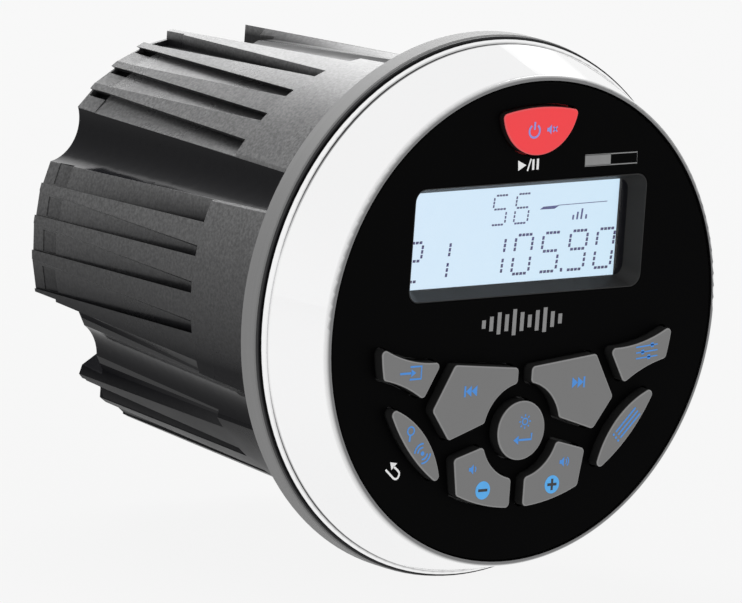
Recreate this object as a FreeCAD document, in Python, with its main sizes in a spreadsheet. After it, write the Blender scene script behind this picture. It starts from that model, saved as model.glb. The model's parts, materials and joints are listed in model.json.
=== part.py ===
import FreeCAD, Part
import math
import os
import Sketcher

# Gauge-style marine stereo: round face with keys and display, chrome trim, tapered barrel.
# The origin lies on the barrel's axis in the plane of the dash panel, which is the back of
# the mounting gasket. The face looks along -Y, the barrel runs along +Y, +Z is up.

# Driving dimensions: lengths in millimetres, angles in degrees.
SIZES = {
    # Round face
    "face_radius": 45.85,
    "face_front": 19.5,
    "face_thickness": 2.0,
    "face_edge": 0.45,
    "fit_gap": 0.15,
    # Chrome trim ring
    "bezel_rise": 0.15,
    "bezel_lip": 0.2,
    "bezel_nose": 0.7,
    "bezel_rim_radius": 51.25,
    "bezel_rim_depth": 1.2,
    "bezel_roll": 0.7,
    "bezel_groove_width": 0.35,
    "bezel_groove_depth": 0.35,
    "bezel_wall": 1.3,
    "bezel_seat": 1.5,
    # Mounting gasket
    "gasket_overhang": 0.65,
    "gasket_thickness": 4.2,
    "gasket_chamfer": 0.4,
    "gasket_relief": 1.5,
    # Pan behind the face
    "pan_bore": 42.6,
    "pan_rim": 2.3,
    "pan_floor": 3.2,
    "pan_window": 22.0,
    "pan_flange": 0.6,
    "pan_flange_inset": 0.2,
    "bezel_gap": 0.3,
    "face_seal_width": 0.8,
    "face_seal_depth": 0.6,
    # Barrel
    "barrel_radius": 43.6,
    "barrel_neck_radius": 42.2,
    "barrel_rear_radius": 39.2,
    "barrel_depth": 80.3,
    "spigot_length": 4.0,
    "bore_front_radius": 40.2,
    "bore_rear_radius": 33.4,
    # Scallops along the barrel
    "scallop_count": 6,
    "scallop_radius": 7.6,
    "scallop_rear_depth": 3.6,
    "scallop_front_depth": 1.0,
    # Saw-tooth ribs
    "rib_groups": 3,
    "rib_front": 27.5,
    "rib_first": 10.2,
    "rib_pitch": 5.9,
    "rib_left_front_first": 8.3,
    "rib_left_front_pitch": 6.55,
    "rib_right_front_first": 9.3,
    "rib_right_front_pitch": 6.3,
    "rib_crest": 1.5,
    "rib_scallop_land": 4.4,
    "rib_count": 4,
    "rib_front_width": 1.9,
    "rib_front_depth": 2.0,
    "rib_front_step": 1.1,
    "rib_first_step": 0.4,
    "rib_left_rear_depth": 1.2,
    "rib_left_rear_step": 0.25,
    "rib_right_rear_depth": 0.4,
    "rib_right_rear_step": 0.1,
    # The last left-hand rib, whose wall leans
    "rib_lean": 60.0,
    "rib_lean_rear_depth": 2.7,
    "rib_lean_front_depth": 1.7,
    "rib_lean_front_width": 2.1,
    "rib_lean_clear": 3.0,
    # Rear ends of the ribs
    "rib_end_left": 5.4,
    "rib_end_right": 3.2,
    "rib_tip_depth": 2.7,
    "rib_tip_slot": 1.3,
    "rib_tip_wall": 0.5,
    "rib_last_wall": 0.8,
    "rib_first_drop": 0.6,
    "rib_next_drop": 0.95,
    "rib_toe_drop": 0.05,
    "rib_last_drop": 1.5,
    "rib_last_toe_drop": 0.9,
    "rib_window_length": 4.2,
    "rib_window_margin": 0.4,
    "rib_window_depth": 0.15,
    # Rear edge of the lowest rib group, cut back
    "low_edge_place": 76.0,
    "low_edge_drop": 20.0,
    # Chamfers on the three scallops between rib groups
    "flank_rear_half": 8.8,
    "flank_front_half": 7.7,
    "flank_rear_bottom": 2.8,
    "flank_front_bottom": 1.2,
    "flank_rear_run": 1.4,
    "flank_front_run": 2.5,
    # Notches in the rear edge, between the rib groups
    "notch_front": 69.0,
    "notch_half": 7.5,
    "notch_step_front": 73.5,
    "notch_step_half": 9.2,
    # Rear cover
    "cover_recess": 12.0,
    "cover_thickness": 3.0,
    "cover_ledge": 3.0,
    "cover_ledge_depth": 2.0,
    "rear_seal_thickness": 1.0,
    "rear_boss_radius": 4.6,
    "rear_boss_length": 10.0,
    "rear_screw_circle": 29.6,
    # Screws
    "screw_count": 4,
    "screw_angle": 45.0,
    "screw_head_radius": 2.75,
    "screw_head_depth": 1.8,
    "screw_shank_radius": 1.35,
    "screw_hole_radius": 1.6,
    "screw_pilot_radius": 1.4,
    "screw_reach": 7.0,
    "front_boss_radius": 3.6,
    "front_boss_length": 14.0,
    "front_screw_circle": 36.8,
    # Display stack
    "display_centre": 15.93,
    "display_width": 56.4,
    "display_height": 22.0,
    "display_corner": 2.6,
    "surround_depth": 3.6,
    "surround_inset": 1.7,
    "surround_rim": 0.3,
    "surround_flange": 1.0,
    "lens_thickness": 1.0,
    "lcd_air_gap": 0.2,
    "lcd_thickness": 2.0,
    "guide_thickness": 2.0,
    "holder_wall": 1.0,
    # Control board
    "board_front": 9.8,
    "board_thickness": 1.6,
    "board_gap": 1.1,
    "board_post_radius": 2.6,
    "board_screw_circle": 38.5,
    "board_screw_angle": 20.0,
    "small_head_radius": 2.0,
    "small_head_depth": 1.3,
    # Keys
    "key_gap": 0.4,
    "key_corner": 0.9,
    "key_edge": 0.35,
    "key_back_gap": 0.3,
    "key_flange": 0.8,
    "key_flange_depth": 1.2,
    "key_rise": 2.1,
    "power_rise": 1.2,
    "stem_radius": 1.5,
    "stem_end": 13.1,
    "plunger_overlap": 1.9,
    "plunger_gap": 0.4,
    "switch_side": 6.0,
    "switch_height": 3.1,
    "switch_floor": 0.4,
    # Key outlines, right-hand side, seen from the front
    "key_circle": 35.3,
    "key_half_gap": 1.6,
    "centre_key_drop": 20.5,
    "centre_key_radius": 5.7,
    "ring_radius": 9.2,
    "skip_top_inner": 8.35,
    "skip_top_outer": 6.85,
    "skip_top_x": 17.1,
    "skip_tip_x": 21.9,
    "skip_tip_drop": 15.4,
    "skip_foot_x": 17.5,
    "skip_foot_drop": 21.4,
    "skip_ring_angle": 12.0,
    "source_top_angle": 3.8,
    "source_foot_angle": 14.5,
    "source_inner_x": 20.3,
    "source_inner_drop": 6.05,
    "source_heel_x": 24.3,
    "source_heel_drop": 13.1,
    "source_bend": 26.0,
    "leaf_top_angle": 23.4,
    "leaf_foot_angle": 57.9,
    "leaf_bend": 19.2,
    "volume_top_x": 15.9,
    "volume_top_drop": 25.0,
    "volume_foot_angle": 65.3,
    "volume_ring_angle": 16.0,
    "power_circle": 41.2,
    "power_bowl_radius": 9.15,
    "power_bowl_drop": 0.1,
    # Boards in the barrel
    "stack_circle": 26.0,
    "standoff_radius": 2.5,
    "standoff_bore": 1.45,
    "main_board_place": 16.0,
    "main_board_radius": 34.0,
    "amplifier_board_gap": 21.0,
    "amplifier_board_radius": 31.0,
    "chip_width": 24.0,
    "chip_height": 18.0,
    "chip_thickness": 5.0,
    "spreader_thickness": 3.0,
    "spreader_radius": 30.0,
    "link_width": 30.0,
    "link_height": 5.0,
    "tuner_width": 22.0,
    "tuner_height": 14.0,
    "tuner_depth": 8.0,
    "tuner_drop": 14.0,
    "capacitor_radius": 5.0,
    "capacitor_length": 18.0,
    "capacitor_pitch": 11.0,
    "capacitor_rise": 14.0,
    "capacitor_count": 3,
    "choke_radius": 9.0,
    "choke_bore": 4.0,
    "choke_length": 9.0,
    "choke_drop": 15.0,
    # Connections in the rear cover
    "insert_spacing": 44.0,
    "insert_bore": 2.1,
    "insert_wall": 1.4,
    "insert_length": 8.0,
    "insert_floor": 1.2,
    "harness_width": 26.0,
    "harness_height": 12.0,
    "harness_wall": 1.5,
    "harness_drop": 14.0,
    "harness_out": 1.0,
    "harness_depth": 13.0,
    "harness_floor": 2.0,
    "pin_side": 1.0,
    "pin_length": 4.0,
    "pin_columns": 5,
    "pin_pitch": 4.0,
    "antenna_radius": 6.0,
    "antenna_bore": 4.2,
    "antenna_depth": 14.0,
    "antenna_out": 1.6,
    "antenna_floor": 2.0,
    "antenna_x": 12.0,
    "antenna_rise": 13.0,
    "preout_radius": 4.2,
    "preout_bore": 1.7,
    "preout_out": 1.8,
    "preout_depth": 8.0,
    "preout_bore_depth": 7.0,
    "preout_first_x": 4.0,
    "preout_pitch": 12.0,
    "socket_rise": 13.0,
}

VECTOR = FreeCAD.Vector
ALONG_Y = FreeCAD.Rotation(VECTOR(1, 0, 0), -90)
FACING = FreeCAD.Rotation(VECTOR(1, 0, 0), 90)
RIGHT = 1
LEFT = -1


class Dim:
    """A length that keeps its number together with the expression that gives it."""

    def __init__(self, value, text):
        self.value = value
        self.text = text

    def __add__(self, other):
        other = as_dim(other)
        return Dim(self.value + other.value, f"({self.text} + {other.text})")

    def __sub__(self, other):
        other = as_dim(other)
        return Dim(self.value - other.value, f"({self.text} - {other.text})")

    def __mul__(self, other):
        other = as_dim(other)
        return Dim(self.value * other.value, f"({self.text} * {other.text})")

    def __truediv__(self, other):
        other = as_dim(other)
        return Dim(self.value / other.value, f"({self.text} / {other.text})")

    def __neg__(self):
        return Dim(-self.value, f"(0 - {self.text})")

    __radd__ = __add__
    __rmul__ = __mul__


def as_dim(thing):
    """A plain number or a Dim, as a Dim."""
    return thing if isinstance(thing, Dim) else Dim(float(thing), repr(float(thing)))


def size(name):
    """A driving dimension, tied to its cell."""
    return Dim(float(SIZES[name]), f"Sizes.{name}")


def count(name):
    """A driving count, as a whole number."""
    return int(SIZES[name])


def cosine(angle):
    """Cosine of an angle in degrees."""
    angle = as_dim(angle)
    return Dim(math.cos(math.radians(angle.value)), f"cos({angle.text})")


def sine(angle):
    """Sine of an angle in degrees."""
    angle = as_dim(angle)
    return Dim(math.sin(math.radians(angle.value)), f"sin({angle.text})")


def other_leg(long_side, leg):
    """The third side of a right triangle."""
    square = long_side * long_side - leg * leg
    return Dim(math.sqrt(square.value), f"sqrt({square.text})")


def mean(values):
    """The middle of several lengths."""
    total = values[0]
    for value in values[1:]:
        total = total + value
    return total / len(values)


doc = FreeCAD.newDocument("MarineStereo")
sheet = doc.addObject("Spreadsheet::Sheet", "Sizes")
for row, (alias, number) in enumerate(SIZES.items(), start=1):
    sheet.set(f"A{row}", alias)
    sheet.set(f"B{row}", str(number))
    sheet.setAlias(f"B{row}", alias)
doc.recompute()

nodes = {}


def bind(thing, prop, length):
    """Tie a property to the sheet."""
    thing.setExpression(prop, as_dim(length).text)


def keep(name, thing):
    """Note a finished sub-part under the name of its node."""
    thing.Label = name
    nodes[name] = thing
    return thing


# Sketching

def arc_between(start, end, radius):
    """The short arc from start to end; a positive radius has its centre on the left."""
    chord = end - start
    left = VECTOR(-chord.y, chord.x, 0).normalize()
    side = math.copysign(1, radius)
    rise = math.sqrt(radius * radius - (chord.Length / 2) ** 2)
    centre = (start + end) * 0.5 + left * rise * side
    middle = centre - left * abs(radius) * side
    return Part.Arc(start, middle, end)


def draw(sketch, corners, bends=None):
    """Draw a closed outline whose corners, and arc radii, are tied to the sheet."""
    bends = bends or {}
    total = len(corners)
    points = [VECTOR(as_dim(x).value, as_dim(y).value, 0) for x, y in corners]
    ends = []
    for index in range(total):
        start = points[index]
        end = points[(index + 1) % total]
        if index in bends:
            bend = as_dim(bends[index])
            piece = sketch.addGeometry(arc_between(start, end, bend.value), False)
        else:
            piece = sketch.addGeometry(Part.LineSegment(start, end), False)
        forward = sketch.getPoint(piece, 1).distanceToPoint(start) < 1e-6
        ends.append((1, 2) if forward else (2, 1))
    for index in range(total):
        after = (index + 1) % total
        sketch.addConstraint(Sketcher.Constraint("Coincident", index, ends[index][1], after, ends[after][0]))
    for index, (x, y) in enumerate(corners):
        for kind, length in (("DistanceX", as_dim(x)), ("DistanceY", as_dim(y))):
            place = sketch.addConstraint(
                Sketcher.Constraint(kind, -1, 1, index, ends[index][0], length.value))
            sketch.renameConstraint(place, f"{kind}{index}")
            sketch.setExpression(f"Constraints.{kind}{index}", length.text)
    for index, bend in bends.items():
        bend = as_dim(bend)
        amount = bend if bend.value > 0 else -bend
        place = sketch.addConstraint(Sketcher.Constraint("Radius", index, amount.value))
        sketch.renameConstraint(place, f"Radius{index}")
        sketch.setExpression(f"Constraints.Radius{index}", amount.text)
    return sketch


def draw_circles(sketch, places, radius):
    """Draw equal circles at the given places."""
    radius = as_dim(radius)
    for x, y in places:
        x = as_dim(x)
        y = as_dim(y)
        centre = VECTOR(x.value, y.value, 0)
        index = sketch.addGeometry(Part.Circle(centre, VECTOR(0, 0, 1), radius.value), False)
        for kind, length in (("DistanceX", x), ("DistanceY", y)):
            place = sketch.addConstraint(Sketcher.Constraint(kind, -1, 1, index, 3, length.value))
            sketch.renameConstraint(place, f"{kind}{index}")
            sketch.setExpression(f"Constraints.{kind}{index}", length.text)
        place = sketch.addConstraint(Sketcher.Constraint("Radius", index, radius.value))
        sketch.renameConstraint(place, f"Radius{index}")
        sketch.setExpression(f"Constraints.Radius{index}", radius.text)
    return sketch


def front_sketch(name, at_y=0.0):
    """A free sketch seen from the front: its x is X and its y is Z."""
    sketch = doc.addObject("Sketcher::SketchObject", name)
    sketch.Placement = FreeCAD.Placement(VECTOR(0, 0, 0), FACING)
    bind(sketch, "Placement.Base.y", at_y)
    return sketch


def origin_feature(body, role):
    """One of a body's own planes or axes."""
    return [item for item in body.Origin.OriginFeatures if item.Role == role][0]


def body_sketch(body, name, role, behind=0.0):
    """A sketch on a body's own plane, moved towards +Y by a length where it faces -Y."""
    sketch = body.newObject("Sketcher::SketchObject", name)
    sketch.AttachmentSupport = [(origin_feature(body, role), "")]
    sketch.MapMode = "FlatFace"
    bind(sketch, "AttachmentOffset.Base.z", -as_dim(behind))
    return sketch


# Simple solids

def shaft(name, radius, start, end, at_x=0.0, at_z=0.0):
    """A round bar along Y."""
    bar = doc.addObject("Part::Cylinder", name)
    bar.Placement = FreeCAD.Placement(VECTOR(0, 0, 0), ALONG_Y)
    bind(bar, "Radius", radius)
    bind(bar, "Height", as_dim(end) - start)
    bind(bar, "Placement.Base.x", at_x)
    bind(bar, "Placement.Base.y", start)
    bind(bar, "Placement.Base.z", at_z)
    return bar


def block(name, width, height, start, end, at_x=0.0, at_z=0.0):
    """A box centred on (at_x, at_z), from start to end along Y."""
    box = doc.addObject("Part::Box", name)
    bind(box, "Length", width)
    bind(box, "Width", as_dim(end) - start)
    bind(box, "Height", height)
    bind(box, "Placement.Base.x", as_dim(at_x) - as_dim(width) / 2)
    bind(box, "Placement.Base.y", start)
    bind(box, "Placement.Base.z", as_dim(at_z) - as_dim(height) / 2)
    return box


def fuse(name, parts):
    """One solid from several that touch."""
    joined = doc.addObject("Part::MultiFuse", name)
    joined.Shapes = parts
    joined.Refine = True
    return joined


def cut(name, base, tools):
    """A solid with others taken out of it."""
    tool = tools[0] if len(tools) == 1 else fuse(f"{name}_tools", tools)
    result = doc.addObject("Part::Cut", name)
    result.Base = base
    result.Tool = tool
    return result


def together(name, parts):
    """Separate solids of one kind, kept in one node."""
    bundle = doc.addObject("Part::Compound", name)
    bundle.Links = parts
    return bundle


def grown(name, outline, amount):
    """An outline set outwards, or inwards where the amount is negative."""
    result = doc.addObject("Part::Offset2D", name)
    result.Source = outline
    result.Join = 0
    bind(result, "Value", amount)
    return result


def rounded(name, outline, corner):
    """An outline with its outer corners rounded."""
    return grown(name, grown(f"{name}_core", outline, -as_dim(corner)), corner)


def slab(name, outline, start, end):
    """A flat piece with the given outline, from start to end along Y."""
    solid = doc.addObject("Part::Extrusion", name)
    solid.Base = outline
    solid.DirMode = "Custom"
    solid.Dir = VECTOR(0, 1, 0)
    solid.Solid = True
    bind(solid, "LengthFwd", as_dim(end) - start)
    bind(solid, "Placement.Base.y", start)
    return solid


def soften_front(name, solid, radius, front):
    """Round the edges that lie in a piece's front plane."""
    doc.recompute()
    result = doc.addObject("Part::Fillet", name)
    result.Base = solid
    level = as_dim(front).value
    chosen = []
    for index, edge in enumerate(solid.Shape.Edges, start=1):
        if all(abs(vertex.Y - level) < 1e-4 for vertex in edge.Vertexes):
            chosen.append((index, radius.value, radius.value))
    result.Edges = chosen
    return result


def turned(name, corners, bends=None):
    """A body turned about the Y axis from an outline of (y, radius) corners."""
    body = doc.addObject("PartDesign::Body", name)
    sketch = body_sketch(body, f"{name}_profile", "YZ_Plane")
    draw(sketch, corners, bends)
    turn = body.newObject("PartDesign::Revolution", f"{name}_turn")
    turn.Profile = sketch
    turn.ReferenceAxis = (sketch, ["H_Axis"])
    turn.Angle = 360
    doc.recompute()
    return body


def around(radius, number, first_angle):
    """Evenly spaced places on a circle, as (x, z), from an angle above +X."""
    places = []
    for index in range(number):
        angle = as_dim(first_angle) + 360.0 / number * index
        places.append((radius * cosine(angle), radius * sine(angle)))
    return places


def rectangle(name, width, height, centre_z, at_y=0.0):
    """A rectangle seen from the front, centred on the Z axis."""
    half_width = as_dim(width) / 2
    half_height = as_dim(height) / 2
    low = as_dim(centre_z) - half_height
    high = as_dim(centre_z) + half_height
    corners = [(-half_width, low), (half_width, low), (half_width, high), (-half_width, high)]
    return draw(front_sketch(name, at_y), corners)


# Levels along Y, negative in front of the dash panel

FACE_Y = -size("face_front")
FACE_BACK_Y = FACE_Y + size("face_thickness")
FLANGE_BACK_Y = -size("gasket_thickness")
BEZEL_BACK_Y = FLANGE_BACK_Y - size("pan_flange")
PAN_FLOOR_Y = FLANGE_BACK_Y - size("pan_floor")
LENS_Y = FACE_Y + size("surround_depth")
LENS_BACK_Y = LENS_Y + size("lens_thickness")
LCD_Y = LENS_BACK_Y + size("lcd_air_gap")
GUIDE_Y = LCD_Y + size("lcd_thickness")
HOLDER_FLOOR_Y = GUIDE_Y + size("guide_thickness")
BOARD_Y = -size("board_front")
BOARD_BACK_Y = BOARD_Y + size("board_thickness")
KEY_FLANGE_Y = FACE_BACK_Y + size("key_back_gap")
KEY_BACK_Y = KEY_FLANGE_Y + size("key_flange_depth")
STEM_END_Y = -size("stem_end")
MAIN_BOARD_Y = size("main_board_place")
MAIN_BOARD_BACK_Y = MAIN_BOARD_Y + size("board_thickness")
AMP_BOARD_Y = MAIN_BOARD_BACK_Y + size("amplifier_board_gap")
AMP_BOARD_BACK_Y = AMP_BOARD_Y + size("board_thickness")
SPREADER_Y = AMP_BOARD_BACK_Y + size("chip_thickness")
SPREADER_BACK_Y = SPREADER_Y + size("spreader_thickness")
BARREL_END_Y = size("barrel_depth")
COVER_BACK_Y = BARREL_END_Y - size("cover_recess")
COVER_Y = COVER_BACK_Y - size("cover_thickness")
LEDGE_Y = COVER_Y - size("rear_seal_thickness")


# Trim, gasket and pan

def make_bezel():
    """The chrome ring: a deep dish with a rolled front edge and a short rim."""
    bore = size("face_radius") + size("fit_gap")
    front = FACE_Y - size("bezel_rise")
    lip = bore + size("bezel_lip")
    rim = size("bezel_rim_radius")
    nose = size("bezel_nose")
    rim_front = BEZEL_BACK_Y - size("bezel_rim_depth")
    shoulder = rim - size("bezel_roll")
    groove = shoulder - size("bezel_groove_depth")
    dish_end = rim_front - size("bezel_groove_width")
    corners = [
        (front, bore),
        (front, lip),
        (front + nose, lip + nose),
        (dish_end, shoulder),
        (dish_end, groove),
        (rim_front, groove),
        (rim_front, shoulder),
        (BEZEL_BACK_Y - size("bezel_roll"), rim),
        (BEZEL_BACK_Y, rim),
        (BEZEL_BACK_Y, rim - size("bezel_wall")),
        (front + size("bezel_seat"), bore),
    ]
    keep("bezel_ring", turned("bezel_ring", corners, {1: -nose, 6: -size("bezel_rim_depth")}))


def gasket_radius():
    """Outer radius of the gasket, a little beyond the trim."""
    return size("bezel_rim_radius") + size("gasket_overhang")


def make_gasket():
    """The grey rubber ring that seals against the dash, wider where the barrel's shoulder starts."""
    bore = size("barrel_neck_radius") + size("fit_gap")
    relief = size("barrel_radius") + size("fit_gap")
    relief_y = -size("gasket_relief")
    outside = gasket_radius()
    chamfer = size("gasket_chamfer")
    corners = [
        (FLANGE_BACK_Y, bore),
        (FLANGE_BACK_Y, outside - chamfer),
        (FLANGE_BACK_Y + chamfer, outside),
        (0.0, outside),
        (0.0, relief),
        (relief_y, relief),
        (relief_y, bore),
    ]
    keep("mounting_gasket", turned("mounting_gasket", corners))


def board_screw_places():
    """Centres of the control board's screws."""
    return around(size("board_screw_circle"), count("screw_count"), size("board_screw_angle"))


def pan_seal_radius():
    """Inner radius of the groove for the face seal."""
    return size("pan_bore") + (size("pan_rim") - size("face_seal_width")) / 2


def make_pan():
    """The black pan that carries the face, the trim and the control board."""
    rim = size("pan_bore") + size("pan_rim")
    skirt = size("bezel_rim_radius") - size("bezel_wall") - size("bezel_gap")
    flange = gasket_radius() - size("pan_flange_inset")
    groove = pan_seal_radius()
    groove_out = groove + size("face_seal_width")
    groove_y = FACE_BACK_Y + size("face_seal_depth")
    corners = [
        (FACE_BACK_Y, size("pan_bore")),
        (FACE_BACK_Y, groove),
        (groove_y, groove),
        (groove_y, groove_out),
        (FACE_BACK_Y, groove_out),
        (FACE_BACK_Y, rim),
        (BEZEL_BACK_Y, skirt),
        (BEZEL_BACK_Y, flange),
        (FLANGE_BACK_Y, flange),
        (FLANGE_BACK_Y, size("pan_window")),
        (PAN_FLOOR_Y, size("pan_window")),
        (PAN_FLOOR_Y, size("pan_bore")),
    ]
    body = turned("front_housing", corners)
    posts = body_sketch(body, "pan_posts", "XZ_Plane", BOARD_BACK_Y)
    post_places = board_screw_places()
    draw_circles(posts, post_places, size("board_post_radius"))
    pad = body.newObject("PartDesign::Pad", "pan_post_pad")
    pad.Profile = posts
    pad.Reversed = True
    bind(pad, "Length", PAN_FLOOR_Y - BOARD_BACK_Y + size("pan_floor") / 2)
    pilots = body_sketch(body, "pan_pilots", "XZ_Plane", BOARD_BACK_Y)
    draw_circles(pilots, post_places, size("screw_pilot_radius"))
    pilot_cut = body.newObject("PartDesign::Pocket", "pan_pilot_cut")
    pilot_cut.Profile = pilots
    bind(pilot_cut, "Length", FLANGE_BACK_Y - BOARD_BACK_Y - size("small_head_depth"))
    doc.recompute()
    places = around(size("front_screw_circle"), count("screw_count"), size("screw_angle"))
    holes = body_sketch(body, "pan_holes", "XZ_Plane", PAN_FLOOR_Y)
    draw_circles(holes, places, size("screw_hole_radius"))
    hole_cut = body.newObject("PartDesign::Pocket", "pan_hole_cut")
    hole_cut.Profile = holes
    bind(hole_cut, "Length", size("pan_floor"))
    sinks = body_sketch(body, "pan_sinks", "XZ_Plane", PAN_FLOOR_Y)
    draw_circles(sinks, places, size("screw_head_radius") + size("fit_gap"))
    sink_cut = body.newObject("PartDesign::Pocket", "pan_sink_cut")
    sink_cut.Profile = sinks
    bind(sink_cut, "Length", size("screw_head_depth") + size("fit_gap"))
    stacks = body_sketch(body, "pan_stack_holes", "XZ_Plane", PAN_FLOOR_Y)
    draw_circles(stacks, stack_places(), size("screw_pilot_radius"))
    stack_cut = body.newObject("PartDesign::Pocket", "pan_stack_cut")
    stack_cut.Profile = stacks
    bind(stack_cut, "Length", size("pan_floor"))
    doc.recompute()
    keep("front_housing", body)


def make_face_seal():
    """The rubber ring in the pan's groove."""
    inside = pan_seal_radius()
    outside = inside + size("face_seal_width")
    back = FACE_BACK_Y + size("face_seal_depth")
    corners = [(FACE_BACK_Y, inside), (FACE_BACK_Y, outside), (back, outside), (back, inside)]
    keep("face_seal", turned("face_seal", corners))


# Barrel

def crest(offset, radius):
    """Height of a circle of the given radius at a sideways offset."""
    return other_leg(as_dim(radius), as_dim(offset))


def barrel_radius_at(y):
    """Outer radius of the tapered barrel."""
    run = BARREL_END_Y - size("spigot_length")
    drop = size("barrel_radius") - size("barrel_rear_radius")
    return size("barrel_radius") - drop * (as_dim(y) - size("spigot_length")) / run


def loft_cut(body, name, rear, rear_y, front, front_y):
    """Cut a straight-sided channel between a rear outline and a front outline."""
    rear_sketch = draw(body_sketch(body, f"{name}_rear", "XZ_Plane", rear_y), rear)
    front_outline = draw(body_sketch(body, f"{name}_front", "XZ_Plane", front_y), front)
    channel = body.newObject("PartDesign::SubtractiveLoft", name)
    channel.Profile = rear_sketch
    channel.Sections = [front_outline]
    channel.Ruled = True
    return channel


def cut_straight(body, name, outline, start, end):
    """Cut a straight recess along Y."""
    recess = body.newObject("PartDesign::Pocket", name)
    recess.Profile = draw(body_sketch(body, f"{name}_outline", "XZ_Plane", start), outline)
    bind(recess, "Length", as_dim(end) - start)
    return recess


def rib_wall(index):
    """Sideways place of a rib's wall at its rear end."""
    return size("rib_first") + size("rib_pitch") * index


def rib_toe(index):
    """Sideways place where a channel's floor reaches the surface at its rear end."""
    if index == 0:
        return size("rib_scallop_land")
    return rib_wall(index - 1) + size("rib_crest")


def toe_step(index, step):
    """How far below the surface a channel's floor ends; the first one opens into the scallop."""
    return size("rib_first_step") if index == 0 else size(step)


def rear_section(side, index):
    """Places of a channel's wall and toe at its rear end, and their depths."""
    hand = "right" if side == RIGHT else "left"
    step = toe_step(index, f"rib_{hand}_rear_step")
    return rib_wall(index), rib_toe(index), size(f"rib_{hand}_rear_depth"), step


def front_section(side, index):
    """Places of a channel's wall and toe at its front end, and their depths."""
    hand = "right" if side == RIGHT else "left"
    wall = size(f"rib_{hand}_front_first") + size(f"rib_{hand}_front_pitch") * index
    toe = size("rib_scallop_land") if index == 0 else wall - size("rib_front_width")
    return wall, toe, size("rib_front_depth"), toe_step(index, "rib_front_step")


def on_side(side, corners):
    """Corners as they are on the right, or mirrored to the left."""
    return corners if side == RIGHT else [(-as_dim(x), z) for x, z in corners]


def channel_outline(side, wall, toe, radius, wall_depth, toe_depth=0.0):
    """Saw-tooth section: a wall along the pull direction -Z and a sloping floor."""
    clear = size("barrel_radius")
    return on_side(side, [
        (wall, -clear),
        (wall, as_dim(wall_depth) - crest(wall, radius)),
        (toe, as_dim(toe_depth) - crest(toe, radius)),
        (toe, -clear),
    ])


def leaning_outline(wall, toe, radius, depth, toe_depth):
    """Section on the left with a wall that leans away from the pull direction."""
    along = sine(size("rib_lean"))
    inward = cosine(size("rib_lean"))
    edge = -crest(wall, radius)
    clear = size("rib_lean_clear")
    return on_side(LEFT, [
        (wall + along * clear, edge - inward * clear),
        (wall - along * depth, edge + inward * depth),
        (toe, toe_depth - crest(toe, radius)),
        (toe, -size("barrel_radius") - clear),
    ])


def rib_channel(body, side, index):
    """One channel between ribs: closed short of the rear edge on the left, open on the right."""
    name = f"rib_channel_{'right' if side == RIGHT else 'left'}_{index + 1}"
    end = BARREL_END_Y if side == RIGHT else BARREL_END_Y - size("rib_end_left")
    front_y = size("rib_front")
    rear_radius = barrel_radius_at(end)
    front_radius = barrel_radius_at(front_y)
    wall, toe, wall_depth, toe_depth = rear_section(side, index)
    front_wall, front_toe, front_depth, front_toe_depth = front_section(side, index)
    if side == LEFT and index == count("rib_count") - 1:
        front_toe = front_wall - size("rib_lean_front_width")
        rear = leaning_outline(wall, toe, rear_radius, size("rib_lean_rear_depth"), toe_depth)
        front = leaning_outline(front_wall, front_toe, front_radius, size("rib_lean_front_depth"), toe_depth)
    else:
        rear = channel_outline(side, wall, toe, rear_radius, wall_depth, toe_depth)
        front = channel_outline(side, front_wall, front_toe, front_radius, front_depth, front_toe_depth)
    return loft_cut(body, name, rear, end, front, front_y)


def rib_tip_cuts(body, index):
    """The pocket under a left-hand rib's rear tip and the lowered rim beside it."""
    wall = rib_wall(index)
    toe = rib_toe(index)
    radius = size("barrel_rear_radius")
    start = BARREL_END_Y - size("rib_end_left")
    if index == count("rib_count") - 1:
        end = BARREL_END_Y - size("rib_last_wall")
        pocket = leaning_outline(wall, toe, radius, size("rib_lean_rear_depth"), size("rib_last_drop"))
        rim = leaning_outline(wall, toe, radius, size("rib_last_drop"), size("rib_last_toe_drop"))
    else:
        end = BARREL_END_Y - size("rib_tip_wall")
        depth = size("rib_tip_depth")
        drop = size("rib_first_drop" if index == 0 else "rib_next_drop")
        pocket = channel_outline(LEFT, wall, wall - size("rib_tip_slot"), radius, depth, depth)
        rim = channel_outline(LEFT, wall, toe, radius, drop, size("rib_toe_drop"))
    return [
        cut_straight(body, f"rib_tip_{index + 1}", pocket, start, end),
        cut_straight(body, f"rib_rim_{index + 1}", rim, start, BARREL_END_Y),
    ]


def partway(first, last, part):
    """A length that lies between two others."""
    return first + (last - first) * part


def rib_window(body, index):
    """The shallow recess in a right-hand channel's floor, near its rear end."""
    end = BARREL_END_Y - size("rib_end_right")
    part = (BARREL_END_Y - end) / (BARREL_END_Y - size("rib_front"))
    rear = rear_section(RIGHT, index)
    front = front_section(RIGHT, index)
    front_radius = barrel_radius_at(size("rib_front"))
    floor = []
    for side in (0, 1):
        x = partway(rear[side], front[side], part)
        rear_z = rear[side + 2] - crest(rear[side], size("barrel_rear_radius"))
        front_z = front[side + 2] - crest(front[side], front_radius)
        floor.append((x, partway(rear_z, front_z, part)))
    (wall, wall_z), (toe, toe_z) = floor
    margin = size("rib_window_margin")
    shift = (wall_z - toe_z) * margin / (wall - toe)
    depth = size("rib_window_depth")
    clear = size("barrel_radius")
    outline = [
        (wall - margin, -clear),
        (wall - margin, wall_z - shift + depth),
        (toe + margin, toe_z + shift + depth),
        (toe + margin, -clear),
    ]
    return cut_straight(body, f"rib_window_{index + 1}", outline, end - size("rib_window_length"), end)


def rear_notch(body, name, left, right, front):
    """A notch through the rear edge, between the rib groups."""
    inside = size("bore_rear_radius") - size("cover_ledge")
    outside = size("barrel_radius")
    outline = [(-left, inside), (right, inside), (right, outside), (-left, outside)]
    return cut_straight(body, name, outline, front, BARREL_END_Y)


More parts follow.
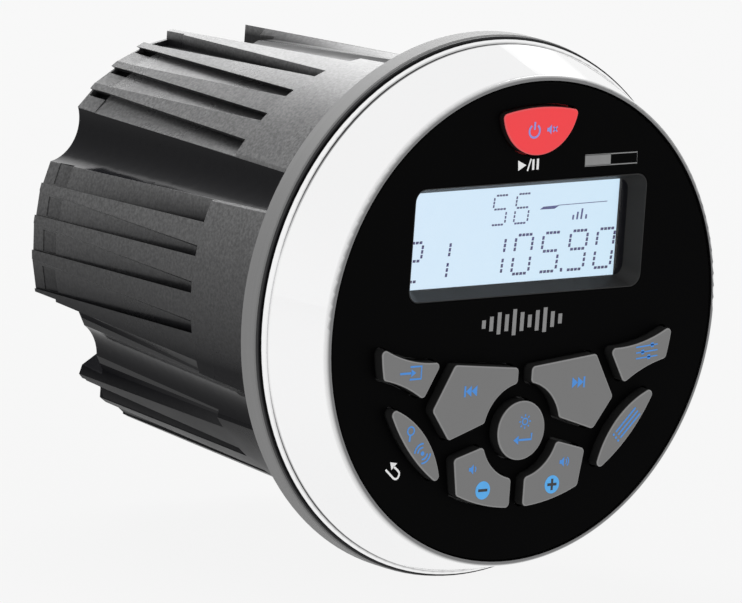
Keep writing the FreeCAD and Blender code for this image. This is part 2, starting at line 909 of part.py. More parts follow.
def low_edge_cut(body):
    """The rear edge of the lowest rib group, which ends sooner than the others."""
    side = size("barrel_radius")
    top = -size("low_edge_drop")
    outline = [(-side, -side), (side, -side), (side, top), (-side, top)]
    return cut_straight(body, "low_edge_cut", outline, size("low_edge_place"), BARREL_END_Y)


def flank_channel(body):
    """The sloping shoulders beside the scallops that part the rib groups."""
    rear_radius = size("barrel_rear_radius")
    front_radius = barrel_radius_at(size("rib_front"))
    clear = front_radius + size("rib_front_depth")
    outlines = []
    for radius, half, run, bottom in (
        (rear_radius, size("flank_rear_half"), size("flank_rear_run"), size("flank_rear_bottom")),
        (front_radius, size("flank_front_half"), size("flank_front_run"), size("flank_front_bottom")),
    ):
        edge = crest(half, radius)
        foot = half - run
        floor = radius - bottom
        outlines.append([
            (-half, edge), (-foot, floor), (foot, floor), (half, edge), (half, clear), (-half, clear)])
    return loft_cut(body, "flank_channel", outlines[0], BARREL_END_Y, outlines[1], size("rib_front"))


def scallop_channel(body):
    """One hollow along the barrel, deeper towards the rear."""
    radius = size("scallop_radius")
    rear = body_sketch(body, "scallop_rear", "XZ_Plane", BARREL_END_Y)
    rear_centre = size("barrel_rear_radius") - size("scallop_rear_depth") + radius
    draw_circles(rear, [(0.0, rear_centre)], radius)
    front = body_sketch(body, "scallop_front", "XZ_Plane", FLANGE_BACK_Y)
    front_centre = size("barrel_radius") - size("scallop_front_depth") + radius
    draw_circles(front, [(0.0, front_centre)], radius)
    channel = body.newObject("PartDesign::SubtractiveLoft", "scallop_channel")
    channel.Profile = rear
    channel.Sections = [front]
    channel.Ruled = True
    return channel


def pattern_round(body, name, features, occurrences):
    """Repeat cuts about the barrel's axis."""
    doc.recompute()
    repeat = body.newObject("PartDesign::PolarPattern", name)
    repeat.Originals = features
    repeat.Axis = (origin_feature(body, "Y_Axis"), [""])
    repeat.Angle = 360
    repeat.Occurrences = occurrences
    body.Tip = repeat
    doc.recompute()
    return repeat


def boss_ring(body, name, places, radius, start, length, pilot_start, pilot_depth, pilot_backwards):
    """Round bosses inside the barrel, with pilot holes for screws."""
    bosses = body_sketch(body, f"{name}_bosses", "XZ_Plane", start)
    draw_circles(bosses, places, radius)
    pad = body.newObject("PartDesign::Pad", f"{name}_pad")
    pad.Profile = bosses
    pad.Reversed = True
    bind(pad, "Length", length)
    doc.recompute()
    pilots = body_sketch(body, f"{name}_pilots", "XZ_Plane", pilot_start)
    draw_circles(pilots, places, size("screw_pilot_radius"))
    pocket = body.newObject("PartDesign::Pocket", f"{name}_pocket")
    pocket.Profile = pilots
    pocket.Reversed = pilot_backwards
    bind(pocket, "Length", pilot_depth)
    doc.recompute()


def make_barrel():
    """The tapered rear housing with its scallops, ribs and screw bosses."""
    cover_bore = size("bore_rear_radius")
    ledge = cover_bore - size("cover_ledge")
    ledge_front = LEDGE_Y - size("cover_ledge_depth")
    corners = [
        (FLANGE_BACK_Y, size("bore_front_radius")),
        (FLANGE_BACK_Y, size("barrel_neck_radius")),
        (0.0, size("barrel_neck_radius")),
        (0.0, size("barrel_radius")),
        (size("spigot_length"), size("barrel_radius")),
        (BARREL_END_Y, size("barrel_rear_radius")),
        (BARREL_END_Y, cover_bore),
        (LEDGE_Y, cover_bore),
        (LEDGE_Y, ledge),
        (ledge_front, ledge),
        (ledge_front, cover_bore),
    ]
    body = turned("rear_housing", corners)
    groups = count("rib_groups")
    pattern_round(body, "scallops", [scallop_channel(body)], count("scallop_count"))
    pattern_round(body, "flanks", [flank_channel(body)], groups)
    for index in range(count("rib_count")):
        pattern_round(body, f"left_ribs_{index + 1}", [rib_channel(body, LEFT, index)], groups)
        pattern_round(body, f"left_tips_{index + 1}", rib_tip_cuts(body, index), groups)
        pattern_round(body, f"right_ribs_{index + 1}", [rib_channel(body, RIGHT, index)], groups)
        pattern_round(body, f"right_windows_{index + 1}", [rib_window(body, index)], groups)
    half = size("notch_half")
    notch = rear_notch(body, "notch", half, half, size("notch_front"))
    pattern_round(body, "notches", [notch], groups)
    step = rear_notch(body, "notch_step", half, size("notch_step_half"), size("notch_step_front"))
    pattern_round(body, "notch_steps", [step], groups)
    low_edge_cut(body)
    doc.recompute()
    screws = count("screw_count")
    front_places = around(size("front_screw_circle"), screws, size("screw_angle"))
    boss_ring(body, "front_boss", front_places, size("front_boss_radius"), FLANGE_BACK_Y,
              size("front_boss_length"), FLANGE_BACK_Y, size("screw_reach"), False)
    rear_places = around(size("rear_screw_circle"), screws, size("screw_angle"))
    boss_ring(body, "rear_boss", rear_places, size("rear_boss_radius"),
              LEDGE_Y - size("rear_boss_length"), size("rear_boss_length"),
              LEDGE_Y, size("screw_reach"), True)
    keep("rear_housing", body)


# Rear cover and its connections

def harness_place():
    """Centre of the harness socket."""
    return as_dim(0.0), -size("harness_drop")


def preout_places():
    """Centres of the two line sockets."""
    first = size("preout_first_x")
    rise = size("socket_rise")
    return [(first, rise), (first + size("preout_pitch"), rise)]


def insert_places():
    """Centres of the threaded inserts for the clamp bracket."""
    half = size("insert_spacing") / 2
    return [(half, as_dim(0.0)), (-half, as_dim(0.0))]


def make_rear_cover():
    """The plate that closes the barrel."""
    radius = size("bore_rear_radius") - size("fit_gap")
    plate = shaft("cover_plate", radius, COVER_Y, COVER_BACK_Y)
    tools = []
    for index, (x, z) in enumerate(rear_screw_places()):
        tools.append(shaft(f"cover_hole_{index}", size("screw_hole_radius"), COVER_Y, COVER_BACK_Y, x, z))
    for index, (x, z) in enumerate(insert_places()):
        radius = size("insert_bore") + size("insert_wall")
        tools.append(shaft(f"cover_insert_{index}", radius, COVER_Y, COVER_BACK_Y, x, z))
    x, z = harness_place()
    tools.append(block("cover_harness", size("harness_width"), size("harness_height"),
                       COVER_Y, COVER_BACK_Y, x, z))
    tools.append(shaft("cover_antenna", size("antenna_radius"), COVER_Y, COVER_BACK_Y,
                       -size("antenna_x"), size("antenna_rise")))
    for index, (x, z) in enumerate(preout_places()):
        tools.append(shaft(f"cover_preout_{index}", size("preout_radius"), COVER_Y, COVER_BACK_Y, x, z))
    keep("rear_cover", cut("rear_cover", plate, tools))


def rear_screw_places():
    """Centres of the cover's screws."""
    return around(size("rear_screw_circle"), count("screw_count"), size("screw_angle"))


def make_rear_seal():
    """The flat rubber ring under the cover, with an ear round each screw."""
    outside = size("bore_rear_radius") - size("fit_gap")
    inside = size("bore_rear_radius") - size("cover_ledge")
    disc = shaft("seal_disc", outside, LEDGE_Y, COVER_Y)
    bore = shaft("seal_bore", inside, LEDGE_Y, COVER_Y)
    pieces = [cut("seal_ring", disc, [bore])]
    holes = []
    ear = outside - size("rear_screw_circle")
    for index, (x, z) in enumerate(rear_screw_places()):
        pieces.append(shaft(f"seal_ear_{index}", ear, LEDGE_Y, COVER_Y, x, z))
        holes.append(shaft(f"seal_hole_{index}", size("screw_hole_radius"), LEDGE_Y, COVER_Y, x, z))
    keep("rear_seal", cut("rear_seal", fuse("seal_blank", pieces), holes))


def screw(name, x, z, head_from, head_to, tip, shank_radius, head_radius):
    """A pan-head screw along Y, with its cross recess."""
    head_start, head_end = sorted((head_from, head_to), key=lambda level: level.value)
    shank_start, shank_end = sorted((head_to, tip), key=lambda level: level.value)
    head = shaft(f"{name}_head", head_radius, head_start, head_end, x, z)
    shank = shaft(f"{name}_shank", shank_radius, shank_start, shank_end, x, z)
    body = fuse(f"{name}_body", [head, shank])
    depth = (head_end - head_start) * 0.5
    slot_width = head_radius * 0.28
    slot_length = head_radius * 1.2
    if head_from.value < head_to.value:
        slot_start, slot_end = head_from, head_from + depth
    else:
        slot_start, slot_end = head_from - depth, head_from
    flat = block(f"{name}_flat", slot_length, slot_width, slot_start, slot_end, x, z)
    tall = block(f"{name}_tall", slot_width, slot_length, slot_start, slot_end, x, z)
    return cut(name, body, [flat, tall])


def screw_set(name, places, head_from, head_to, tip, shank_radius, head_radius):
    """Equal screws at several places, in one node."""
    screws = []
    for index, (x, z) in enumerate(places):
        screws.append(screw(f"{name}_{index}", x, z, head_from, head_to, tip, shank_radius, head_radius))
    keep(name, together(name, screws))


def make_screws():
    """All screws of the product."""
    screw_set("cover_screws", rear_screw_places(), COVER_BACK_Y + size("screw_head_depth"), COVER_BACK_Y,
              LEDGE_Y - size("screw_reach") + size("fit_gap"),
              size("screw_shank_radius"), size("screw_head_radius"))
    front_places = around(size("front_screw_circle"), count("screw_count"), size("screw_angle"))
    seat = PAN_FLOOR_Y + size("screw_head_depth") + size("fit_gap")
    screw_set("housing_screws", front_places, PAN_FLOOR_Y + size("fit_gap"), seat,
              FLANGE_BACK_Y + size("screw_reach") - size("fit_gap"),
              size("screw_shank_radius"), size("screw_head_radius"))
    screw_set("board_screws", board_screw_places(), BOARD_Y - size("small_head_depth"), BOARD_Y,
              FLANGE_BACK_Y - size("small_head_depth") - size("fit_gap"),
              size("screw_shank_radius"), size("small_head_radius"))
    screw_set("stack_screws", stack_places(), SPREADER_BACK_Y + size("screw_head_depth"), SPREADER_BACK_Y,
              FLANGE_BACK_Y - size("pan_floor") * 0.7,
              size("screw_shank_radius"), size("screw_head_radius"))


def make_inserts():
    """Brass threaded inserts for the clamp bracket."""
    pieces = []
    back = COVER_BACK_Y
    outer = size("insert_bore") + size("insert_wall")
    for index, (x, z) in enumerate(insert_places()):
        sleeve = shaft(f"insert_sleeve_{index}", outer, back - size("insert_length"), back, x, z)
        thread = shaft(f"insert_thread_{index}", size("insert_bore"),
                       back - size("insert_length") + size("insert_floor"), back, x, z)
        pieces.append(cut(f"insert_{index}", sleeve, [thread]))
    keep("clamp_inserts", together("clamp_inserts", pieces))


def make_harness():
    """The socket for the wiring harness, and its pins."""
    x, z = harness_place()
    back = COVER_BACK_Y + size("harness_out")
    front = back - size("harness_depth")
    floor = front + size("harness_floor")
    shell = block("harness_shell", size("harness_width"), size("harness_height"), front, back, x, z)
    hollow = block("harness_hollow", size("harness_width") - size("harness_wall") * 2,
                   size("harness_height") - size("harness_wall") * 2, floor, back, x, z)
    pins = []
    holes = []
    columns = count("pin_columns")
    for column in range(columns):
        for level in (-1, 1):
            offset = column - (columns - 1) / 2
            pin_x = x + size("pin_pitch") * offset
            pin_z = z + size("pin_pitch") / 2 * level
            name = f"harness_pin_{column}_{level + 1}"
            pins.append(block(name, size("pin_side"), size("pin_side"), front, floor + size("pin_length"),
                              pin_x, pin_z))
            holes.append(block(f"{name}_hole", size("pin_side"), size("pin_side"), front, floor,
                               pin_x, pin_z))
    keep("harness_socket", cut("harness_socket", shell, [hollow] + holes))
    keep("harness_pins", together("harness_pins", pins))


def make_antenna_socket():
    """The aerial socket: a metal sleeve with a blind round bore."""
    x = -size("antenna_x")
    z = size("antenna_rise")
    back = COVER_BACK_Y + size("antenna_out")
    front = back - size("antenna_depth")
    sleeve = shaft("antenna_sleeve", size("antenna_radius"), front, back, x, z)
    bore = shaft("antenna_hollow", size("antenna_bore"), front + size("antenna_floor"), back, x, z)
    keep("antenna_socket", cut("antenna_socket", sleeve, [bore]))


def make_preout_sockets():
    """Two round line sockets with small bores."""
    pieces = []
    back = COVER_BACK_Y + size("preout_out")
    front = back - size("preout_depth")
    for index, (x, z) in enumerate(preout_places()):
        barrel = shaft(f"preout_barrel_{index}", size("preout_radius"), front, back, x, z)
        floor = back - size("preout_bore_depth")
        bore = shaft(f"preout_bore_{index}", size("preout_bore"), floor, back, x, z)
        pieces.append(cut(f"preout_{index}", barrel, [bore]))
    keep("preout_sockets", together("preout_sockets", pieces))


# Boards inside the barrel

def stack_places():
    """Centres of the standoffs that carry the boards."""
    return around(size("stack_circle"), count("screw_count"), size("screw_angle"))


def standoff_set(name, start, end):
    """Four tubular spacers between two plates."""
    pieces = []
    for index, (x, z) in enumerate(stack_places()):
        post = shaft(f"{name}_post_{index}", size("standoff_radius"), start, end, x, z)
        bore = shaft(f"{name}_bore_{index}", size("standoff_bore"), start, end, x, z)
        pieces.append(cut(f"{name}_{index}", post, [bore]))
    keep(name, together(name, pieces))


def stack_plate(name, radius, start, end):
    """A round plate with clearance holes for the stack's long screws."""
    disc = shaft(f"{name}_disc", radius, start, end)
    holes = []
    for index, (x, z) in enumerate(stack_places()):
        holes.append(shaft(f"{name}_hole_{index}", size("screw_hole_radius"), start, end, x, z))
    keep(name, cut(name, disc, holes))


def make_boards():
    """The two round boards and the heat spreader in the barrel, with their spacers."""
    standoff_set("front_standoffs", FLANGE_BACK_Y, MAIN_BOARD_Y)
    stack_plate("main_board", size("main_board_radius"), MAIN_BOARD_Y, MAIN_BOARD_BACK_Y)
    standoff_set("rear_standoffs", MAIN_BOARD_BACK_Y, AMP_BOARD_Y)
    stack_plate("amplifier_board", size("amplifier_board_radius"), AMP_BOARD_Y, AMP_BOARD_BACK_Y)
    standoff_set("heat_standoffs", AMP_BOARD_BACK_Y, SPREADER_Y)
    keep("amplifier_chip", block("amplifier_chip", size("chip_width"), size("chip_height"),
                                 AMP_BOARD_BACK_Y, SPREADER_Y))
    stack_plate("heat_spreader", size("spreader_radius"), SPREADER_Y, SPREADER_BACK_Y)


def make_board_parts():
    """The larger parts that stand on the boards."""
    keep("board_link", block("board_link", size("link_width"), size("link_height"),
                             BOARD_BACK_Y, MAIN_BOARD_Y))
    keep("tuner_module", block("tuner_module", size("tuner_width"), size("tuner_height"),
                               MAIN_BOARD_Y - size("tuner_depth"), MAIN_BOARD_Y, 0.0, -size("tuner_drop")))
    cans = []
    number = count("capacitor_count")
    for index in range(number):
        x = size("capacitor_pitch") * (index - (number - 1) / 2)
        end = MAIN_BOARD_BACK_Y + size("capacitor_length")
        cans.append(shaft(f"capacitor_{index}", size("capacitor_radius"), MAIN_BOARD_BACK_Y, end,
                          x, size("capacitor_rise")))
    keep("power_capacitors", together("power_capacitors", cans))
    end = MAIN_BOARD_BACK_Y + size("choke_length")
    ring = shaft("choke_ring", size("choke_radius"), MAIN_BOARD_BACK_Y, end, 0.0, -size("choke_drop"))
    bore = shaft("choke_hollow", size("choke_bore"), MAIN_BOARD_BACK_Y, end, 0.0, -size("choke_drop"))
    keep("filter_choke", cut("filter_choke", ring, [bore]))


# Display

def make_display():
    """Surround, window, display glass, light guide and holder."""
    width = size("display_width")
    height = size("display_height")
    centre = size("display_centre")
    gap = size("fit_gap")
    corner = size("display_corner")
    rim = size("surround_rim")
    inset = size("surround_inset")
    flange = size("surround_flange")
    opening = rounded("display_opening", rectangle("display_rectangle", width, height, centre), corner)
    outer = grown("surround_outline", opening, -gap)
    frame = slab("surround_frame", outer, FACE_Y, LENS_Y)
    back_outline = grown("surround_flange_outline", opening, flange)
    back = slab("surround_flange_slab", back_outline, FACE_BACK_Y, LENS_Y)
    mouth = rectangle("surround_mouth_rectangle", width - rim * 2, height - rim * 2, centre, FACE_Y)
    throat = rectangle("surround_throat_rectangle", width - inset * 2, height - inset * 2, centre, LENS_Y)
    funnel = doc.addObject("Part::Loft", "surround_funnel")
    funnel.Sections = [rounded("surround_mouth", mouth, corner - rim),
                       rounded("surround_throat", throat, corner - rim)]
    funnel.Solid = True
    funnel.Ruled = True
    keep("display_surround", cut("display_surround", fuse("surround_body", [frame, back]), [funnel]))
    keep("display_lens", slab("display_lens", grown("lens_outline", opening, flange - gap),
                              LENS_Y, LENS_BACK_Y))
    glass = grown("lcd_outline", opening, -gap)
    keep("lcd_glass", slab("lcd_glass", glass, LCD_Y, GUIDE_Y))
    keep("light_guide", slab("light_guide", glass, GUIDE_Y, HOLDER_FLOOR_Y))
    wall = size("holder_wall")
    shell = slab("holder_shell", grown("holder_outline", opening, flange + wall), LENS_Y, BOARD_Y)
    lens_seat = slab("holder_lens_seat", grown("holder_lens_outline", opening, flange), LENS_Y, LENS_BACK_Y)
    well = slab("holder_well", opening, LENS_BACK_Y, HOLDER_FLOOR_Y)
    keep("lcd_holder", cut("lcd_holder", shell, [lens_seat, well]))
    return opening


# Keys

def skip_corners(side):
    """Previous and next track: five sides and a bite round the centre key."""
    ring = size("ring_radius")
    drop = size("centre_key_drop")
    half_gap = size("key_half_gap")
    angle = size("skip_ring_angle")
    corners = [
        (half_gap, -size("skip_top_inner")),
        (half_gap, other_leg(ring, half_gap) - drop),
        (ring * cosine(angle), ring * sine(angle) - drop),
        (size("skip_foot_x"), -size("skip_foot_drop")),
        (size("skip_tip_x"), -size("skip_tip_drop")),
        (size("skip_top_x"), -size("skip_top_outer")),
    ]
    return mirrored_corners(corners, {1: -ring}, side)


def source_corners(side):
    """Source and function: the outer upper keys."""
    circle = size("key_circle")
    top = size("source_top_angle")
    foot = size("source_foot_angle")
    bend = size("source_bend")
    corners = [
        (circle * cosine(top), -(circle * sine(top))),
        (size("source_inner_x"), -size("source_inner_drop")),
        (size("source_heel_x"), -size("source_heel_drop")),
        (circle * cosine(foot), -(circle * sine(foot))),
    ]
    return mirrored_corners(corners, {0: -bend, 2: -bend, 3: circle}, side)


def leaf_corners(side):
    """Band and menu: leaf-shaped keys at the edge of the key circle."""
    circle = size("key_circle")
    top = size("leaf_top_angle")
    foot = size("leaf_foot_angle")
    corners = [
        (circle * cosine(top), -(circle * sine(top))),
        (circle * cosine(foot), -(circle * sine(foot))),
    ]
    return mirrored_corners(corners, {0: size("leaf_bend"), 1: circle}, side)


def volume_corners(side):
    """Volume keys: below the centre key."""
    circle = size("key_circle")
    ring = size("ring_radius")
    drop = size("centre_key_drop")
    half_gap = size("key_half_gap")
    foot = size("volume_foot_angle")
    angle = size("volume_ring_angle")
    corners = [
        (size("volume_top_x"), -size("volume_top_drop")),
        (ring * cosine(angle), -(ring * sine(angle)) - drop),
        (half_gap, -other_leg(ring, half_gap) - drop),
        (half_gap, -other_leg(circle, half_gap)),
        (circle * cosine(foot), -(circle * sine(foot))),
    ]
    return mirrored_corners(corners, {1: -ring, 3: circle}, side)


def power_corners():
    """Power: a bowl closed by an arc that follows the face."""
    circle = size("power_circle")
    bowl = size("power_bowl_radius")
    centre = circle - size("power_bowl_drop")
    lift = (circle * circle - bowl * bowl + centre * centre) / (centre * 2)
    half = other_leg(circle, lift)
    return [(half, lift), (-half, lift)], {0: circle, 1: bowl}


def mirrored_corners(corners, bends, side):
    """Right-hand corners as they are, or mirrored for the left-hand key."""
    if side == RIGHT:
        return corners, bends
    flipped = [(-as_dim(x), z) for x, z in corners]
    return flipped, {index: -as_dim(bend) for index, bend in bends.items()}


def make_key(name, outline, centre, rise):
    """A cap with a soft front edge, a flange behind the face and a stem."""
    front = FACE_Y - rise
    x, z = centre
    cap = soften_front(f"{name}_cap", slab(f"{name}_cap_slab", outline, front, KEY_FLANGE_Y),
                       size("key_edge"), front)
    flange = slab(f"{name}_flange", grown(f"{name}_flange_outline", outline, size("key_flange")),
                  KEY_FLANGE_Y, KEY_BACK_Y)
    stem = shaft(f"{name}_stem", size("stem_radius"), KEY_BACK_Y, STEM_END_Y, x, z)
    keep(name, fuse(name, [cap, flange, stem]))
    plunger_end = STEM_END_Y + size("plunger_overlap")
    plunger = shaft(f"{name}_plunger", size("stem_radius"), STEM_END_Y, plunger_end, x, z)
    keep(name.replace("_key", "_plunger"), plunger)


def make_keys():
    """All ten keys; returns their outlines and centres."""
    shapes = {
        "source_key": source_corners(LEFT),
        "function_key": source_corners(RIGHT),
        "previous_key": skip_corners(LEFT),
        "next_key": skip_corners(RIGHT),
        "band_key": leaf_corners(LEFT),
        "menu_key": leaf_corners(RIGHT),
        "volume_down_key": volume_corners(LEFT),
        "volume_up_key": volume_corners(RIGHT),
        "power_key": power_corners(),
    }
    outlines = {}
    centres = {}
    for name, (corners, bends) in shapes.items():
        base = draw(front_sketch(f"{name}_corners"), corners, bends)
        outlines[name] = rounded(f"{name}_outline", base, size("key_corner"))
        centres[name] = (mean([x for x, z in corners]), mean([z for x, z in corners]))
    bowl_centre = size("power_circle") - size("power_bowl_drop") - size("power_bowl_radius") / 2
    centres["power_key"] = (as_dim(0.0), bowl_centre)
    round_place = (as_dim(0.0), -size("centre_key_drop"))
    outlines["select_key"] = draw_circles(
        front_sketch("select_key_outline"), [round_place], size("centre_key_radius"))
    centres["select_key"] = round_place
    for name, outline in outlines.items():
        rise = size("power_rise") if name == "power_key" else size("key_rise")
        make_key(name, outline, centres[name], rise)
    return outlines, centres


def make_face(opening, outlines):
    """The face plate with its openings."""
    radius = size("face_radius")
    edge = size("face_edge")
    corners = [
        (FACE_Y, 0.0),
        (FACE_Y, radius - edge),
        (FACE_Y + edge, radius),
        (FACE_BACK_Y, radius),
        (FACE_BACK_Y, 0.0),
    ]
    disc = turned("face_disc", corners, {1: -edge})
    tools = [slab("face_display_opening", opening, FACE_Y, FACE_BACK_Y)]
    for name, outline in outlines.items():
        wide = grown(f"{name}_opening_outline", outline, size("key_gap"))
        tools.append(slab(f"{name}_opening", wide, FACE_Y, FACE_BACK_Y))
    keep("face_plate", cut("face_plate", disc, tools))


def make_control_board(centres):
    """The board behind the face, and the switch under each key."""
    radius = size("pan_bore") - size("board_gap")
    disc = shaft("control_disc", radius, BOARD_Y, BOARD_BACK_Y)
    holes = []
    for index, (x, z) in enumerate(board_screw_places()):
        holes.append(shaft(f"control_hole_{index}", size("screw_hole_radius"), BOARD_Y, BOARD_BACK_Y, x, z))
    keep("control_board", cut("control_board", disc, holes))
    housings = []
    side = size("switch_side")
    for name, (x, z) in centres.items():
        top = BOARD_Y - size("switch_height")
        box = block(f"{name}_switch_box", side, side, top, BOARD_Y, x, z)
        bore = shaft(f"{name}_switch_bore", size("stem_radius") + size("plunger_gap"), top,
                     BOARD_Y - size("switch_floor"), x, z)
        housings.append(cut(f"{name}_switch", box, [bore]))
    keep("switch_housings", together("switch_housings", housings))


def write_parts():
    """Check every object and write each sub-part."""
    doc.recompute()
    for item in doc.Objects:
        if "Invalid" in item.State or "Error" in item.State:
            raise RuntimeError(f"{item.Name} failed: {item.State}")
    os.makedirs("parts", exist_ok=True)
    for name, item in nodes.items():
        shape = item.Shape
        if shape.isNull() or not shape.isValid() or not shape.Solids:
            raise RuntimeError(f"{name} has no valid solid")
        shape.exportStep(f"parts/{name}.step")
        print(name, len(shape.Solids), round(shape.Volume, 2))


make_bezel()
make_gasket()
make_pan()
make_face_seal()
make_barrel()
make_rear_cover()
make_rear_seal()
make_screws()
make_inserts()
make_harness()
make_antenna_socket()
make_preout_sockets()
make_boards()
make_board_parts()
display_opening = make_display()
key_outlines, key_centres = make_keys()
make_face(display_opening, key_outlines)
make_control_board(key_centres)
write_parts()
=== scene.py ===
# Looks of a gauge-style marine stereo: finishes, printed marks, lit display, studio.
# Metres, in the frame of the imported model: the face looks along -Y, the barrel runs along +Y
# and +Z is up. Sizes written as N * MM are millimetres.

import json
import math

import bmesh
import bpy
from mathutils import Matrix, Vector


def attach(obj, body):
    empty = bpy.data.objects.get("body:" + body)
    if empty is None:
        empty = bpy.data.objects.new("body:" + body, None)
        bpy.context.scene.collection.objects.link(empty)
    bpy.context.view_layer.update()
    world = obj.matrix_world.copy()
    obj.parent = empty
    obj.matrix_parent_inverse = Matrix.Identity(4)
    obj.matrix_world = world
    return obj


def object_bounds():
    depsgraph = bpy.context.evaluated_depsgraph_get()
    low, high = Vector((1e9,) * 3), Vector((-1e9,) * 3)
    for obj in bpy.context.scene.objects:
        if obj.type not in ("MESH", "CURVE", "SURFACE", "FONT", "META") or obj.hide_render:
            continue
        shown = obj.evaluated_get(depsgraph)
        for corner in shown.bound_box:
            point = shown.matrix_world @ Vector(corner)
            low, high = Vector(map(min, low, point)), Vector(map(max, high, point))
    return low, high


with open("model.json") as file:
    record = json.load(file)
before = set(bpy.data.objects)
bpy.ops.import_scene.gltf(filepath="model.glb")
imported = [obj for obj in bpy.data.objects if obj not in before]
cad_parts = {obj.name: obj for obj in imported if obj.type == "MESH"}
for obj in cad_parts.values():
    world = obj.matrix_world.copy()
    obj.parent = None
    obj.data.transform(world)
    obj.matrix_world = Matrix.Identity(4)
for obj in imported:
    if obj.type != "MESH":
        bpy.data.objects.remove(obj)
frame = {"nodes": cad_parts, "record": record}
cad_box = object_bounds()

MM = 0.001
ROOT = "housing"

# Levels along Y of the surfaces that carry print
FACE_Y = -19.5 * MM
KEY_TOP_Y = -21.6 * MM
POWER_TOP_Y = -20.7 * MM
LCD_FRONT_Y = -14.7 * MM
PRINT_THICKNESS = 0.03 * MM

# The lit part of the display, and how far its figures lean for each unit of height
LCD_LEFT = -24.9 * MM
LCD_RIGHT = 24.98 * MM
LCD_FOOT = 6.6 * MM
LCD_LEAN = 0.10

# Where painted shade and reflection blacken the trim ring: radii at its lip, and places along Y of its
# groove and its back edge
LIP_RADII = (46.45 * MM, 47.05 * MM)
GROOVE_Y = (-6.60 * MM, -5.95 * MM)
BACK_EDGE_Y = (-5.35 * MM, -5.05 * MM)

# The barrel: its lands' radius shrinks to the rear, and the six hollows between them widen. Angles
# are in radians, and depths are under the lands.
BARREL_END = 80.3 * MM
LAND_START = 4.0 * MM
LAND_RADII = (43.5 * MM, 39.1 * MM)
HOLLOW_HALF_ANGLES = (0.085, 0.150)
HOLLOW_DEPTHS = (0.25 * MM, 6.0 * MM)

# Camera, solved from the ellipses of the photographed face and barrel
CAMERA_PLACE = (-2369.03 * MM, -2845.93 * MM, 697.04 * MM)
CAMERA_AZIMUTH = -0.68983
CAMERA_ELEVATION = 0.18636
CAMERA_ROLL = 0.072596
CAMERA_FOCAL_PX = 20000.0
IMAGE_WIDTH = 742
SENSOR_MM = 36.0

# Studio: directions are from the part, and an edge is a pair of cosines of the angle from one
UP = (0.0, 0.0, 1.0)
SKY_EDGE = (0.0, 0.8)
SIDE_STRENGTH = 0.93
TOP_STRENGTH = 0.91
STRIP_DIRECTION = (0.45, 0.80, 0.35)
STRIP_EDGE = (0.93, 0.98)
STRIP_STRENGTH = 3.4
LAMP_DIRECTION = (0.30, 0.60, 0.75)
LAMP_POWER = 22.0
LAMP_SIZE = 0.7
FLOOR_HALF = 8.0
FLOOR_GAP = 0.1 * MM
FLOOR_TONE = 0.012
FLOOR_GLOW = 0.897


def add_object(name, data):
    """A new object in the scene."""
    made = bpy.data.objects.new(name, data)
    bpy.context.scene.collection.objects.link(made)
    return made


# Shader helpers

def darker(color, share):
    """A colour with its channels cut to a share."""
    return tuple(channel * share for channel in color)


